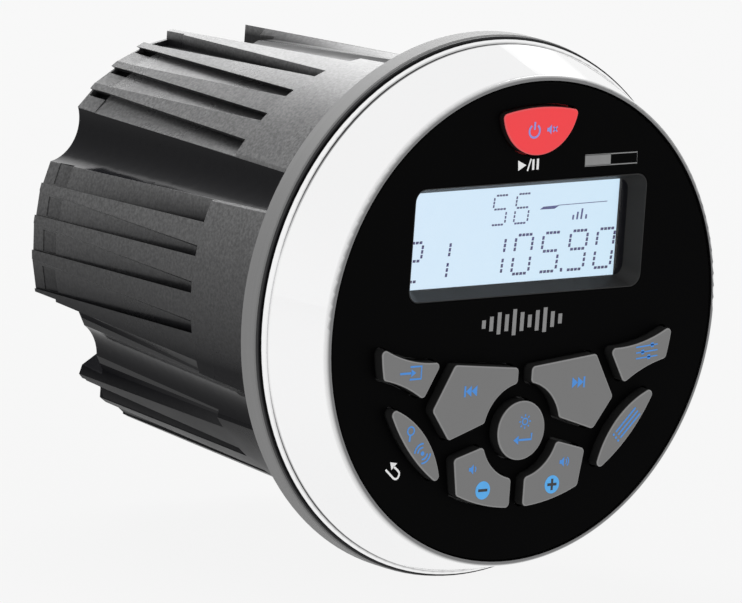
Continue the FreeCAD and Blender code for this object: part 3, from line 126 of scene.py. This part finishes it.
class Shader:
    """A material and a short way to add nodes to it."""

    def __init__(self, name):
        self.material = bpy.data.materials.new(name)
        self.material.use_nodes = True
        self.tree = self.material.node_tree
        self.bsdf = self.tree.nodes["Principled BSDF"]

    def put(self, value, socket):
        """Link an output to a socket, or set a number or a colour on it."""
        if isinstance(value, bpy.types.NodeSocket):
            self.tree.links.new(value, socket)
        elif isinstance(value, tuple):
            socket.default_value = (*value, 1.0)
        else:
            socket.default_value = value

    def feed(self, **values):
        """Put values on the surface shader's own sockets."""
        for key, value in values.items():
            self.put(value, self.bsdf.inputs[key.replace("_", " ")])

    def node(self, kind, **settings):
        """A new node with its settings."""
        made = self.tree.nodes.new(kind)
        for key, value in settings.items():
            setattr(made, key, value)
        return made

    def place(self):
        """Position in the part's own frame."""
        return self.node("ShaderNodeTexCoord").outputs["Object"]

    def split(self, vector, axis):
        """One coordinate of a vector."""
        made = self.node("ShaderNodeSeparateXYZ")
        self.put(vector, made.inputs[0])
        return made.outputs[axis]

    def coordinate(self, axis):
        """One coordinate in the part's own frame."""
        return self.split(self.place(), axis)

    def math(self, operation, first, second=None):
        """One step of arithmetic on outputs or numbers."""
        made = self.node("ShaderNodeMath", operation=operation)
        self.put(first, made.inputs[0])
        if second is not None:
            self.put(second, made.inputs[1])
        return made.outputs[0]

    def times(self, first, second):
        """The product of two values."""
        return self.math("MULTIPLY", first, second)

    def radius(self):
        """Distance from the barrel's axis."""
        x = self.coordinate("X")
        z = self.coordinate("Z")
        return self.math("POWER", self.math("ADD", self.times(x, x), self.times(z, z)), 0.5)

    def span(self, value, low, high, out_low=0.0, out_high=1.0):
        """Map a value's range onto another, held at its ends."""
        made = self.node("ShaderNodeMapRange", clamp=True)
        for key, part in (("Value", value), ("From Min", low), ("From Max", high),
                          ("To Min", out_low), ("To Max", out_high)):
            self.put(part, made.inputs[key])
        return made.outputs["Result"]

    def band(self, value, low, high, soft):
        """One between two values and zero outside, with soft ends."""
        return self.times(self.span(value, low - soft, low + soft),
                          self.span(value, high - soft, high + soft, 1.0, 0.0))

    def noise(self, scale, detail, roughness=0.5, source=None):
        """A cloudy pattern from zero to one, its middle tones the commonest."""
        made = self.node("ShaderNodeTexNoise")
        for key, value in (("Scale", scale), ("Detail", detail), ("Roughness", roughness),
                           ("Vector", source or self.place())):
            self.put(value, made.inputs[key])
        return made.outputs["Fac"]

    def vary(self, noise, low, high):
        """A number that wanders between two values with a noise."""
        return self.span(noise, 0.3, 0.7, low, high)

    def mix(self, factor, first, second):
        """Blend two colours."""
        made = self.node("ShaderNodeMix", data_type="RGBA")
        for index, value in ((0, factor), (6, first), (7, second)):
            self.put(value, made.inputs[index])
        return made.outputs[2]

    def mix_numbers(self, factor, first, second):
        """Blend two numbers."""
        made = self.node("ShaderNodeMix", data_type="FLOAT")
        for index, value in ((0, factor), (2, first), (3, second)):
            self.put(value, made.inputs[index])
        return made.outputs[0]

    def bump(self, height, strength, distance, normal=None):
        """The normal of a surface with a fine relief."""
        made = self.node("ShaderNodeBump")
        for key, value in (("Strength", strength), ("Distance", distance), ("Height", height)):
            self.put(value, made.inputs[key])
        if normal is not None:
            self.put(normal, made.inputs["Normal"])
        return made.outputs["Normal"]

    def soft_edges(self, radius):
        """The normal as if edges had a small radius."""
        made = self.node("ShaderNodeBevel", samples=4)
        self.put(radius, made.inputs["Radius"])
        return made.outputs["Normal"]


# Finishes

def plain_finish(name, color, roughness, metallic=0.0, specular=0.5, grain=(900.0, 0.01 * MM), tint=0.0):
    """A grain of a given scale and depth, and tones that are darker by up to the tint."""
    shader = Shader(name)
    scale, depth = grain
    fine = shader.noise(scale, 3.0)
    broad = shader.noise(60.0, 2.0)
    shader.feed(Metallic=metallic, Specular_IOR_Level=specular,
                Base_Color=shader.mix(broad, darker(color, 1.0 - tint), color),
                Roughness=shader.vary(broad, roughness * 0.9, roughness * 1.1),
                Normal=shader.bump(fine, 0.5, depth))
    return shader.material


def chrome_finish():
    """Bright polished plating with faint ripple, blackened by painted shade in the groove and along the
    back edge, and by a painted reflection at the lip.
    """
    shader = Shader("chrome_trim")
    broad = shader.noise(25.0, 2.0)
    along = shader.coordinate("Y")
    height = shader.math("ABSOLUTE", shader.coordinate("Z"))
    # Painted reflection at the lip: the plating is blackened there, and also made rougher
    at_lip = shader.span(shader.radius(), *LIP_RADII, 0.8, 0.0)
    in_groove = shader.band(along, *GROOVE_Y, 0.12 * MM)
    # Painted shade in the groove: deepest at the ring's top and foot, fading toward its sides
    in_groove = shader.times(in_groove, shader.span(height, 12 * MM, 36 * MM, 0.1, 0.85))
    # Painted shadow along the back edge, beside the gasket
    at_back = shader.span(along, *BACK_EDGE_Y)
    painted_shade_and_reflection = shader.math("MAXIMUM", at_lip, shader.math("MAXIMUM", in_groove, at_back))
    bright = shader.mix(broad, (0.965, 0.965, 0.97), (0.985, 0.985, 0.985))
    # The base colour is blackened where the painted shade and reflection fall
    shader.feed(Metallic=1.0,
                Base_Color=shader.mix(painted_shade_and_reflection, bright, (0.025, 0.025, 0.027)),
                Roughness=shader.math("ADD", shader.vary(broad, 0.05, 0.08), shader.times(at_lip, 0.35)))
    return shader.material


def key_finish(name, top, side, rim):
    """Soft-touch key: painted top, a painted highlight on the rounded rim, darker walls."""
    shader = Shader(name)
    normal = shader.node("ShaderNodeNewGeometry").outputs["Normal"]
    facing = shader.times(shader.split(normal, "Y"), -1.0)
    is_front = shader.span(facing, 0.25, 0.6)
    is_flat = shader.span(facing, 0.93, 0.995)
    broad = shader.noise(180.0, 3.0)
    # The rounded rim between top and walls is coloured lighter: a painted highlight
    front = shader.mix(is_flat, rim, shader.mix(broad, darker(top, 0.93), top))
    shader.feed(Specular_IOR_Level=0.3,
                Base_Color=shader.mix(is_front, side, front),
                Roughness=shader.vary(broad, 0.5, 0.62),
                Normal=shader.bump(shader.noise(2200.0, 3.0), 0.35, 0.01 * MM))
    return shader.material


def rubber_finish(name, color):
    """Moulded rubber with fine turned lines and a dusty sheen."""
    shader = Shader(name)
    stretched = shader.node("ShaderNodeMapping")
    stretched.inputs["Scale"].default_value = (12.0, 700.0, 12.0)
    shader.put(shader.place(), stretched.inputs["Vector"])
    lines = shader.noise(3.0, 3.0, source=stretched.outputs[0])
    shader.feed(Roughness=0.62, Specular_IOR_Level=0.35,
                Base_Color=shader.mix(lines, darker(color, 0.86), color),
                Normal=shader.bump(shader.noise(1500.0, 3.0), 0.4, 0.02 * MM))
    return shader.material


def barrel_finish():
    """Dark moulded plastic: spark-eroded lands with painted light and shade, and glossy hollows along the
    barrel.
    """
    shader = Shader("barrel_plastic")
    along = shader.coordinate("Y")
    height = shader.coordinate("Z")
    black = (0.004, 0.004, 0.005)

    # The hollows are bands of angle, one in the middle of every sixth
    sixth = math.radians(60.0)
    angle = shader.math("ARCTAN2", shader.coordinate("X"), height)
    turned = shader.math("MODULO", shader.math("ADD", angle, sixth / 2 + 2 * math.pi), sixth)
    across = shader.math("ABSOLUTE", shader.math("SUBTRACT", turned, sixth / 2))
    inside = shader.math("LESS_THAN", across, shader.span(along, 0.0, BARREL_END, *HOLLOW_HALF_ANGLES))
    land = shader.span(along, LAND_START, BARREL_END, *LAND_RADII)
    depth = shader.math("SUBTRACT", land, shader.radius())
    hollow = shader.times(inside, shader.band(depth, *HOLLOW_DEPTHS, 0.01 * MM))

    # Painted light and shade: the upper side is painted grey as if lit from above, the underside is
    # painted black as shade, deep corners get painted shade, and a painted shadow falls on the edge at the
    # gasket
    painted_light_and_shade = shader.span(height, -14 * MM, 22 * MM, 0.04, 1.0)
    painted_light_and_shade = shader.times(painted_light_and_shade, shader.span(along, -1.0 * MM, 9.0 * MM, 0.1, 1.0))
    painted_light_and_shade = shader.times(painted_light_and_shade, shader.span(depth, 0.2 * MM, 1.7 * MM, 1.0, 0.15))
    speck = shader.span(shader.noise(1700.0, 3.0, 0.6), 0.35, 0.70)
    # The lands' tone in full light: painted light, a speckled grey over the real spark-eroded grain
    speckled_painted_light = shader.mix(speck, (0.035, 0.035, 0.036), (0.115, 0.115, 0.116))
    land_color = shader.mix(painted_light_and_shade, black, speckled_painted_light)

    land_rough = shader.vary(shader.noise(40.0, 4.0, 0.6), 0.24, 0.34)
    relief = shader.times(shader.noise(1400.0, 4.0, 0.65), shader.math("SUBTRACT", 1.0, hollow))
    # The painted light and shade set both the lands' colour and how strongly they reflect
    shader.feed(Base_Color=shader.mix(hollow, land_color, black),
                Roughness=shader.mix_numbers(hollow, land_rough, 0.14),
                Specular_IOR_Level=shader.mix_numbers(hollow, shader.times(painted_light_and_shade, 0.7), 0.05),
                Normal=shader.bump(relief, 0.35, 0.015 * MM, shader.soft_edges(0.12 * MM)))
    return shader.material


def lcd_finish():
    """Back-lit display glass: pale blue, paler to the left, and black outside its lit part."""
    shader = Shader("lcd_backlight")
    x = shader.coordinate("X")
    inside = shader.times(shader.math("LESS_THAN", x, LCD_RIGHT),
                          shader.math("GREATER_THAN", shader.coordinate("Z"), LCD_FOOT))
    across = shader.span(x, -28 * MM, 25 * MM)
    tone = shader.mix(across, (0.69, 0.84, 0.96), (0.60, 0.80, 0.93))
    cloudy = shader.mix(shader.noise(30.0, 1.0), (0.62, 0.78, 0.93), tone)
    shader.feed(Base_Color=(0.004, 0.004, 0.005), Roughness=0.3, Specular_IOR_Level=0.2,
                Emission_Color=shader.mix(inside, (0.002, 0.002, 0.003), cloudy),
                Emission_Strength=1.0)
    return shader.material


def window_finish():
    """Clear moulded window, lightly hazed."""
    shader = Shader("clear_window")
    shader.feed(Roughness=0.03, IOR=1.45, Transmission_Weight=1.0,
                Base_Color=shader.mix(shader.noise(200.0, 2.0), (0.97, 0.985, 1.0), (1.0, 1.0, 1.0)))
    return shader.material


def ink_finish(name, color, glow=0.0):
    """Printed ink with a slightly uneven tone; glow is for ink that is lit from behind."""
    shader = Shader(name)
    tone = shader.mix(shader.noise(600.0, 2.0), darker(color, 0.85), color)
    shader.feed(Base_Color=tone, Roughness=0.45)
    if glow:
        shader.feed(Emission_Color=tone, Emission_Strength=glow)
    return shader.material


FINISHES = {
    "chrome_trim": chrome_finish(),
    "black_face": plain_finish("face_black", (0.0010, 0.0010, 0.0011), 0.42, specular=0.02,
                               grain=(2500.0, 0.002 * MM), tint=0.2),
    "grey_rubber": rubber_finish("gasket_rubber", (0.21, 0.21, 0.21)),
    "black_rubber": rubber_finish("seal_rubber", (0.02, 0.02, 0.02)),
    "black_housing": plain_finish("pan_plastic", (0.008, 0.008, 0.009), 0.4, specular=0.3),
    "charcoal_housing": barrel_finish(),
    "steel": plain_finish("plated_steel", (0.55, 0.55, 0.57), 0.3, metallic=1.0, tint=0.15),
    "brass": plain_finish("brass", (0.72, 0.52, 0.22), 0.28, metallic=1.0, tint=0.2),
    "connector_white": plain_finish("connector_white", (0.72, 0.71, 0.66), 0.45, tint=0.08),
    "tin_pins": plain_finish("tinned_pins", (0.7, 0.7, 0.68), 0.35, metallic=1.0, tint=0.1),
    "nickel": plain_finish("nickel_plate", (0.62, 0.61, 0.57), 0.22, metallic=1.0, tint=0.1),
    "connector_black": plain_finish("connector_black", (0.02, 0.02, 0.022), 0.45, tint=0.2),
    "green_board": plain_finish("solder_mask", (0.02, 0.12, 0.05), 0.35, tint=0.25),
    "aluminium": plain_finish("milled_aluminium", (0.7, 0.71, 0.72), 0.35, metallic=1.0, tint=0.1),
    "capacitor_sleeve": plain_finish("sleeve_blue", (0.03, 0.05, 0.16), 0.3, tint=0.2),
    "ferrite": plain_finish("ferrite_coat", (0.05, 0.05, 0.05), 0.6, tint=0.3),
    "display_frame": plain_finish("display_frame", (0.022, 0.022, 0.022), 0.5, specular=0.25, tint=0.15),
    "clear_window": window_finish(),
    "display_glass": lcd_finish(),
    "diffuser": plain_finish("milky_diffuser", (0.85, 0.87, 0.9), 0.4, tint=0.05),
    "grey_key": key_finish("grey_key", top=(0.185, 0.185, 0.185), side=(0.012, 0.012, 0.012),
                           rim=(0.27, 0.27, 0.27)),
    "red_key": key_finish("red_key", top=(0.97, 0.055, 0.065), side=(0.010, 0.006, 0.006),
                          rim=(0.85, 0.10, 0.11)),
    "plunger_white": plain_finish("plunger_white", (0.8, 0.8, 0.78), 0.5, tint=0.05),
}

for row in frame["record"]["subparts"]:
    target = frame["nodes"][row["node"]]
    target.data.materials.clear()
    target.data.materials.append(FINISHES[row["material_slot"]])

BLUE_INK = ink_finish("blue_ink", (0.050, 0.25, 0.68), 0.08)
SKY_INK = ink_finish("sky_ink", (0.075, 0.38, 0.80), 0.1)
LILAC_INK = ink_finish("lilac_ink", (0.27, 0.27, 0.66), 0.1)
WHITE_INK = ink_finish("white_ink", (0.86, 0.86, 0.86), 0.05)
GREY_INK = ink_finish("grey_ink", (0.24, 0.24, 0.24))
DARK_INK = ink_finish("dark_ink", (0.02, 0.02, 0.022))
LCD_INK = ink_finish("lcd_segments", (0.040, 0.024, 0.22))
LCD_SIGN_INK = ink_finish("lcd_signs", (0.10, 0.11, 0.38))


# Printed marks, drawn as seen from the front: x to the right, z up, in millimetres

def polygon_plate(bm, points, level):
    """A flat plate with the given outline, its back at a level along Y."""
    front = [bm.verts.new((x * MM, level - PRINT_THICKNESS, z * MM)) for x, z in points]
    back = [bm.verts.new((x * MM, level, z * MM)) for x, z in points]
    area = sum(a[0] * b[1] - b[0] * a[1] for a, b in zip(points, points[1:] + points[:1]))
    if area < 0:
        front.reverse()
        back.reverse()
    bm.faces.new(front)
    bm.faces.new(list(reversed(back)))
    total = len(points)
    for index in range(total):
        after = (index + 1) % total
        bm.faces.new((front[after], front[index], back[index], back[after]))


def stroke_sides(path, width, closed):
    """The left and right sides of a stroke of even width along a path."""
    total = len(path)
    sides = []
    for index, (x, z) in enumerate(path):
        if closed:
            before = path[index - 1]
            after = path[(index + 1) % total]
        else:
            before = path[max(index - 1, 0)]
            after = path[min(index + 1, total - 1)]
        dx = after[0] - before[0]
        dz = after[1] - before[1]
        length = math.hypot(dx, dz)
        over_x = dz / length * width / 2
        over_z = dx / length * width / 2
        sides.append(((x - over_x, z + over_z), (x + over_x, z - over_z)))
    return sides


def stroke(bm, path, width, level, closed):
    """A printed line along a path, with square ends unless it closes, made of quads."""
    rows = []
    for (lx, lz), (rx, rz) in stroke_sides(path, width, closed):
        rows.append([
            bm.verts.new((lx * MM, level - PRINT_THICKNESS, lz * MM)),
            bm.verts.new((rx * MM, level - PRINT_THICKNESS, rz * MM)),
            bm.verts.new((rx * MM, level, rz * MM)),
            bm.verts.new((lx * MM, level, lz * MM)),
        ])
    pairs = list(zip(rows, rows[1:]))
    if closed:
        pairs.append((rows[-1], rows[0]))
    for first, second in pairs:
        for side in range(4):
            after = (side + 1) % 4
            bm.faces.new((first[side], second[side], second[after], first[after]))
    if not closed:
        bm.faces.new(rows[0])
        bm.faces.new(list(reversed(rows[-1])))


def arc(x, z, radius, start, end, steps):
    """Points along an arc, angles in degrees above +x."""
    points = []
    for index in range(steps + 1):
        angle = math.radians(start + (end - start) * index / steps)
        points.append((x + radius * math.cos(angle), z + radius * math.sin(angle)))
    return points


class Print:
    """A set of marks in one ink on one surface of a body."""

    def __init__(self, name, level, ink, body, slot):
        self.name = name
        self.level = level
        self.ink = ink
        self.body = body
        self.slot = slot
        self.bm = bmesh.new()
        self.origin = (0.0, 0.0)
        self.turn = 0.0

    def at(self, x, z, turn=0.0):
        """Draw what follows about this point, turned by so many degrees."""
        self.origin = (x, z)
        self.turn = turn

    def placed(self, points):
        """Points turned and moved to where the marks are drawn."""
        cos = math.cos(math.radians(self.turn))
        sin = math.sin(math.radians(self.turn))
        dx, dz = self.origin
        return [(x * cos - z * sin + dx, x * sin + z * cos + dz) for x, z in points]

    def fill(self, points):
        """A filled outline."""
        polygon_plate(self.bm, self.placed(points), self.level)

    def line(self, points, width, closed=False):
        """A line of even width."""
        stroke(self.bm, self.placed(points), width, self.level, closed)

    def bar(self, x, z, width, height):
        """A filled rectangle from its lower left corner."""
        self.fill([(x, z), (x + width, z), (x + width, z + height), (x, z + height)])

    def disc(self, x, z, radius):
        """A filled circle."""
        self.fill(arc(x, z, radius, 0, 350, 35))

    def finish(self):
        """Make the marks a piece of the scene that rides on its body."""
        bmesh.ops.recalc_face_normals(self.bm, faces=self.bm.faces)
        mesh = bpy.data.meshes.new(self.name)
        self.bm.to_mesh(mesh)
        self.bm.free()
        mesh.materials.append(self.ink)
        piece = add_object(self.name, mesh)
        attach(piece, self.body)


def key_print(key, kind="marks", ink=BLUE_INK, level=KEY_TOP_Y):
    """An empty set of marks on a grey key."""
    return Print(f"{key}_{kind}", level, ink, f"{key}_button", "grey_key")


def speaker(mark, waves=0, cross=False):
    """A loudspeaker symbol about 2 mm high, its left edge at x = 0."""
    mark.fill([(0, -0.35), (0.45, -0.35), (1.05, -0.95), (1.05, 0.95), (0.45, 0.35), (0, 0.35)])
    for index in range(waves):
        mark.line(arc(0.9, 0, 0.75 + 0.5 * index, -42, 42, 10), 0.22)
    if cross:
        mark.line([(1.45, -0.5), (2.45, 0.5)], 0.3)
        mark.line([(1.45, 0.5), (2.45, -0.5)], 0.3)


def power_marks():
    """Power and mute symbols on the red key."""
    mark = Print("power_marks", POWER_TOP_Y, LILAC_INK, "power_button", "red_key")
    mark.at(-1.45, 36.7)
    mark.line(arc(0, 0, 1.25, 125, 415, 28), 0.42)
    mark.line([(0, 0.25), (0, 1.75)], 0.42)
    mark.at(1.6, 36.8)
    speaker(mark, cross=True)
    mark.finish()


def skip_marks():
    """Previous and next track symbols: two triangles that point to a bar."""
    long = 1.35
    half = 1.05
    end = 1.75
    for side, name in ((-1, "previous"), (1, "next")):
        mark = key_print(name)
        mark.at(side * 12.9, -12.1)
        for start in (-long, 0.0):
            mark.fill([(side * start, -half), (side * (start + long), 0.0), (side * start, half)])
        mark.fill([(side * long, -half), (side * end, -half), (side * end, half), (side * long, half)])
        mark.finish()


def source_marks():
    """Input symbol on the source key: an arrow into a box."""
    mark = key_print("source")
    mark.at(-27.9, -7.7)
    mark.line([(-0.2, 1.2), (2.5, 1.2), (2.5, -1.2), (-0.2, -1.2)], 0.38)
    mark.line([(-2.6, 0), (0.2, 0)], 0.42)
    mark.fill([(0.1, -0.75), (1.25, 0.0), (0.1, 0.75)])
    mark.finish()


def function_marks():
    """Symbol of three sliders on the function key."""
    mark = key_print("function")
    mark.at(29.3, -7.2, 4.0)
    for z, knob in ((1.1, 1.3), (0.0, -1.0), (-1.1, 0.5)):
        mark.line([(-2.6, z), (2.6, z)], 0.26)
        mark.fill([(knob - 0.35, z - 0.45), (knob + 0.35, z - 0.45), (knob + 0.35, z + 0.45),
                   (knob - 0.35, z + 0.45)])
    mark.finish()


def select_marks():
    """Display brightness and enter symbols on the centre key."""
    mark = key_print("select")
    mark.at(0.7, -18.8)
    mark.line(arc(0, 0, 0.62, 0, 340, 18), 0.26, closed=True)
    for degrees in range(0, 360, 45):
        angle = math.radians(degrees)
        mark.line([(radius * math.cos(angle), radius * math.sin(angle)) for radius in (0.98, 1.42)], 0.26)
    mark.at(0.5, -22.2)
    mark.line([(2.0, 1.1), (2.0, -0.1), (-1.2, -0.1)], 0.4)
    mark.fill([(-1.1, -0.95), (-1.1, 0.75), (-2.3, -0.1)])
    mark.finish()


def volume_marks():
    """Loudspeaker symbols, and discs with a minus and a plus."""
    arm = 1.1
    half = 0.26
    for side, name, waves in ((-1, "volume_down", 1), (1, "volume_up", 2)):
        mark = key_print(name)
        mark.at(side * 11.0 - 1.1, -27.2)
        speaker(mark, waves=waves)
        mark.finish()
        disc = key_print(name, "disc", SKY_INK)
        disc.at(side * 8.4, -31.4)
        disc.disc(0, 0, 1.75)
        disc.finish()
        sign = key_print(name, "sign", DARK_INK, KEY_TOP_Y - PRINT_THICKNESS)
        sign.at(side * 8.4, -31.4)
        sign.bar(-arm, -half, 2 * arm, 2 * half)
        if side > 0:
            sign.bar(-half, half, 2 * half, arm - half)
            sign.bar(-half, -arm, 2 * half, arm - half)
        sign.finish()


def band_marks():
    """Search and radio symbols along the left leaf key."""
    mark = key_print("band")
    mark.at(-27.1, -19.0, -48.0)
    mark.line(arc(0, 0.3, 0.8, 0, 340, 18), 0.3, closed=True)
    mark.line([(0.6, -0.4), (1.35, -1.2)], 0.4)
    mark.at(-23.7, -23.3, -48.0)
    mark.disc(0, 0, 0.42)
    for start in (-45, 135):
        for radius in (1.15, 1.9):
            mark.line(arc(0, 0, radius, start, start + 90, 12), 0.32)
    mark.finish()


def menu_marks():
    """List symbol along the right leaf key."""
    mark = key_print("menu")
    mark.at(25.7, -21.0, 45.0)
    for z in (-0.85, 0.0, 0.85):
        mark.disc(-3.4, z, 0.24)
        mark.line([(-2.7, z), (3.5, z)], 0.34)
    mark.finish()


def face_marks():
    """White play and return symbols, and plain grey bars, on the face."""
    mark = Print("face_marks", FACE_Y, WHITE_INK, ROOT, "black_face")
    mark.fill([(-3.92, 30.98), (-1.87, 30.01), (-3.74, 29.01)])
    mark.line([(-1.52, 28.86), (-0.80, 31.15)], 0.32)
    mark.fill([(-0.46, 31.02), (0.05, 31.04), (0.10, 29.02), (-0.41, 28.98)])
    mark.fill([(0.62, 31.08), (1.13, 31.10), (1.18, 29.03), (0.67, 29.00)])
    mark.line([(-28.72, -25.85), (-27.62, -26.72), (-27.28, -27.12), (-27.26, -27.62), (-27.52, -28.10),
               (-27.92, -28.32), (-28.32, -28.26), (-28.66, -28.06), (-30.60, -26.36)], 0.40)
    mark.fill([(-29.62, -24.99), (-27.93, -25.27), (-29.19, -26.50)])
    mark.finish()
    grey = Print("face_bars", FACE_Y, GREY_INK, ROOT, "black_face")
    grey.line([(12.36, 31.06), (25.06, 30.97), (25.16, 28.88), (12.46, 28.95)], 0.2, closed=True)
    grey.fill([(12.36, 31.06), (18.60, 31.02), (18.70, 28.92), (12.46, 28.95)])
    left = -9.8
    pitch = 1.85
    width = 0.9
    for index, height in enumerate((1.6, 2.8, 4.2, 3.2, 5.0, 3.6, 2.4, 3.9, 4.7, 3.0, 1.9)):
        grey.bar(left + pitch * index, -height / 2, width, height)
    grey.finish()


# Segments lit for each digit: top, upper left, upper right, middle, lower left, lower right, foot
DIGITS = {
    "0": "1110111",
    "1": "0010010",
    "2": "1011101",
    "5": "1101011",
    "6": "1101111",
    "9": "1111011",
}

# The ends of those segments in a cell: across from its left, and up from its foot
SEGMENTS = (
    ((0.10, 1), (0.95, 1)),
    ((0, 0.94), (0, 0.58)),
    ((1, 0.94), (1, 0.58)),
    ((0.06, 0.53), (0.94, 0.53)),
    ((0, 0.44), (0, 0.04)),
    ((1, 0.44), (1, 0.04)),
    ((0.05, 0), (0.90, 0)),
)

# Dots in an upright and in a level segment, the share of the cell that such a segment spans, and the
# share of a segment that its dots fill
UPRIGHT_DOTS = 3
LEVEL_DOTS = 4
UPRIGHT_SPAN = 0.36
LEVEL_SPAN = 0.85
DOT_FILL = 0.78


def dot_row(mark, start, end, number, width, long):
    """A dashed segment: short leaning dots in a row, left out past the display's ends."""
    dx = end[0] - start[0]
    dz = end[1] - start[1]
    upright = abs(dz) > abs(dx)
    for index in range(number):
        part = (index + 0.5) / number
        x = start[0] + dx * part
        z = start[1] + dz * part
        if not LCD_LEFT / MM < x - width / 2 < LCD_RIGHT / MM - width:
            continue
        wide, high = (width, long) if upright else (long, width)
        lean = LCD_LEAN * high / 2
        mark.fill([(x - wide / 2 - lean, z - high / 2), (x + wide / 2 - lean, z - high / 2),
                   (x + wide / 2 + lean, z + high / 2), (x - wide / 2 + lean, z + high / 2)])


def digit(mark, figure, x, foot, width, height, dot):
    """One digit in a leaning cell whose upper left corner is at x."""
    def corner(across, up):
        return (x + width * across - LCD_LEAN * height * (1 - up), foot + height * up)

    for lit, (start, end) in zip(DIGITS[figure], SEGMENTS):
        if lit == "0":
            continue
        if start[0] == end[0]:
            number = UPRIGHT_DOTS
            long = height * UPRIGHT_SPAN / number * DOT_FILL
        else:
            number = LEVEL_DOTS
            long = width * LEVEL_SPAN / number * DOT_FILL
        dot_row(mark, corner(*start), corner(*end), number, dot, long)


def lcd_marks():
    """Plain numbers, a level wedge and small bars, made of dots as on a segment display."""
    mark = Print("lcd_figures", LCD_FRONT_Y, LCD_INK, ROOT, "display_glass")
    for figure, x in (("2", -25.9), ("1", -19.2), ("1", -5.9), ("0", 0.74), ("5", 7.4), ("9", 14.05),
                      ("0", 20.65)):
        digit(mark, figure, x, foot=8.2, width=4.1, height=7.4, dot=0.52)
    mark.bar(11.9, 7.95, 0.55, 0.7)
    for figure, x in (("5", -5.2), ("6", 0.25)):
        digit(mark, figure, x, foot=17.9, width=3.3, height=5.6, dot=0.36)
    mark.finish()
    sign = Print("lcd_signs", LCD_FRONT_Y, LCD_SIGN_INK, ROOT, "display_glass")
    sign.fill([(5.93, 20.22), (6.74, 20.73), (10.66, 20.80), (9.52, 20.18)])
    sign.line([(10.4, 20.80), (22.3, 20.88)], 0.14)
    foot = 17.8
    wide = 0.42
    for x, top in ((13.95, 18.7), (14.95, 19.25), (15.95, 19.85), (17.1, 18.65)):
        lean = LCD_LEAN * (top - foot)
        sign.fill([(x, foot), (x + wide, foot), (x + wide + lean, top), (x + lean, top)])
    sign.finish()


# Studio

def make_camera():
    """The camera at the photograph's viewpoint."""
    back = Vector((math.sin(CAMERA_AZIMUTH) * math.cos(CAMERA_ELEVATION),
                   -math.cos(CAMERA_AZIMUTH) * math.cos(CAMERA_ELEVATION),
                   math.sin(CAMERA_ELEVATION)))
    right = (-back).cross(Vector(UP)).normalized()
    up = right.cross(-back)
    turned_right = math.cos(CAMERA_ROLL) * right + math.sin(CAMERA_ROLL) * up
    turned_up = -math.sin(CAMERA_ROLL) * right + math.cos(CAMERA_ROLL) * up
    turn = Matrix((turned_right, turned_up, back)).transposed().to_4x4()
    data = bpy.data.cameras.new("camera")
    data.sensor_width = SENSOR_MM
    data.lens = CAMERA_FOCAL_PX / IMAGE_WIDTH * SENSOR_MM
    data.clip_start = 0.1
    data.clip_end = 50.0
    camera = add_object("camera", data)
    camera.matrix_world = Matrix.Translation(CAMERA_PLACE) @ turn
    bpy.context.scene.camera = camera


def make_floor():
    """A plain pale floor that the gasket's rim stands on."""
    low, _ = cad_box
    level = low.z - FLOOR_GAP
    corners = [(x * FLOOR_HALF, y * FLOOR_HALF, level) for x, y in ((-1, -1), (1, -1), (1, 1), (-1, 1))]
    mesh = bpy.data.meshes.new("floor")
    mesh.from_pydata(corners, [], [(0, 1, 2, 3)])
    shader = Shader("floor")
    shader.feed(Base_Color=(FLOOR_TONE, FLOOR_TONE, FLOOR_TONE), Roughness=0.9, Specular_IOR_Level=0.0,
                Emission_Color=(1.0, 1.0, 1.0), Emission_Strength=FLOOR_GLOW)
    mesh.materials.append(shader.material)
    add_object("floor", mesh)


def sky_strength(tree, direction, edge, outside, inside):
    """Strength of the sky by its angle from a direction, even outside and inside an edge."""
    place = tree.nodes.new("ShaderNodeTexCoord")
    toward = tree.nodes.new("ShaderNodeVectorMath")
    toward.operation = "DOT_PRODUCT"
    toward.inputs[1].default_value = Vector(direction).normalized()
    tree.links.new(place.outputs["Generated"], toward.inputs[0])
    ramp = tree.nodes.new("ShaderNodeMapRange")
    ramp.interpolation_type = "SMOOTHSTEP"
    for socket, value in zip(("From Min", "From Max", "To Min", "To Max"), (*edge, outside, inside)):
        ramp.inputs[socket].default_value = value
    tree.links.new(toward.outputs["Value"], ramp.inputs["Value"])
    return ramp.outputs["Result"]


def make_sky():
    """A soft white sky all round, with a brighter strip behind the part."""
    world = bpy.data.worlds.new("studio")
    world.use_nodes = True
    tree = world.node_tree
    background = tree.nodes["Background"]
    background.inputs["Color"].default_value = (1.0, 1.0, 1.0, 1.0)
    product = tree.nodes.new("ShaderNodeMath")
    product.operation = "MULTIPLY"
    tree.links.new(sky_strength(tree, UP, SKY_EDGE, SIDE_STRENGTH, TOP_STRENGTH), product.inputs[0])
    tree.links.new(sky_strength(tree, STRIP_DIRECTION, STRIP_EDGE, 1.0, STRIP_STRENGTH), product.inputs[1])
    tree.links.new(product.outputs[0], background.inputs["Strength"])
    bpy.context.scene.world = world


def make_lamp():
    """A soft square lamp above and behind, one metre away and not seen in reflections."""
    data = bpy.data.lights.new("lamp", "AREA")
    data.shape = "SQUARE"
    data.size = LAMP_SIZE
    data.energy = LAMP_POWER
    lamp = add_object("lamp", data)
    lamp.location = Vector(LAMP_DIRECTION).normalized()
    lamp.rotation_euler = lamp.location.to_track_quat("Z", "Y").to_euler()
    lamp.visible_glossy = False


def set_tones():
    """Plain tones, without a film curve."""
    view = bpy.context.scene.view_settings
    view.view_transform = "Standard"
    view.look = "None"


power_marks()
skip_marks()
source_marks()
function_marks()
select_marks()
volume_marks()
band_marks()
menu_marks()
face_marks()
lcd_marks()

make_camera()
make_floor()
make_sky()
make_lamp()
set_tones()
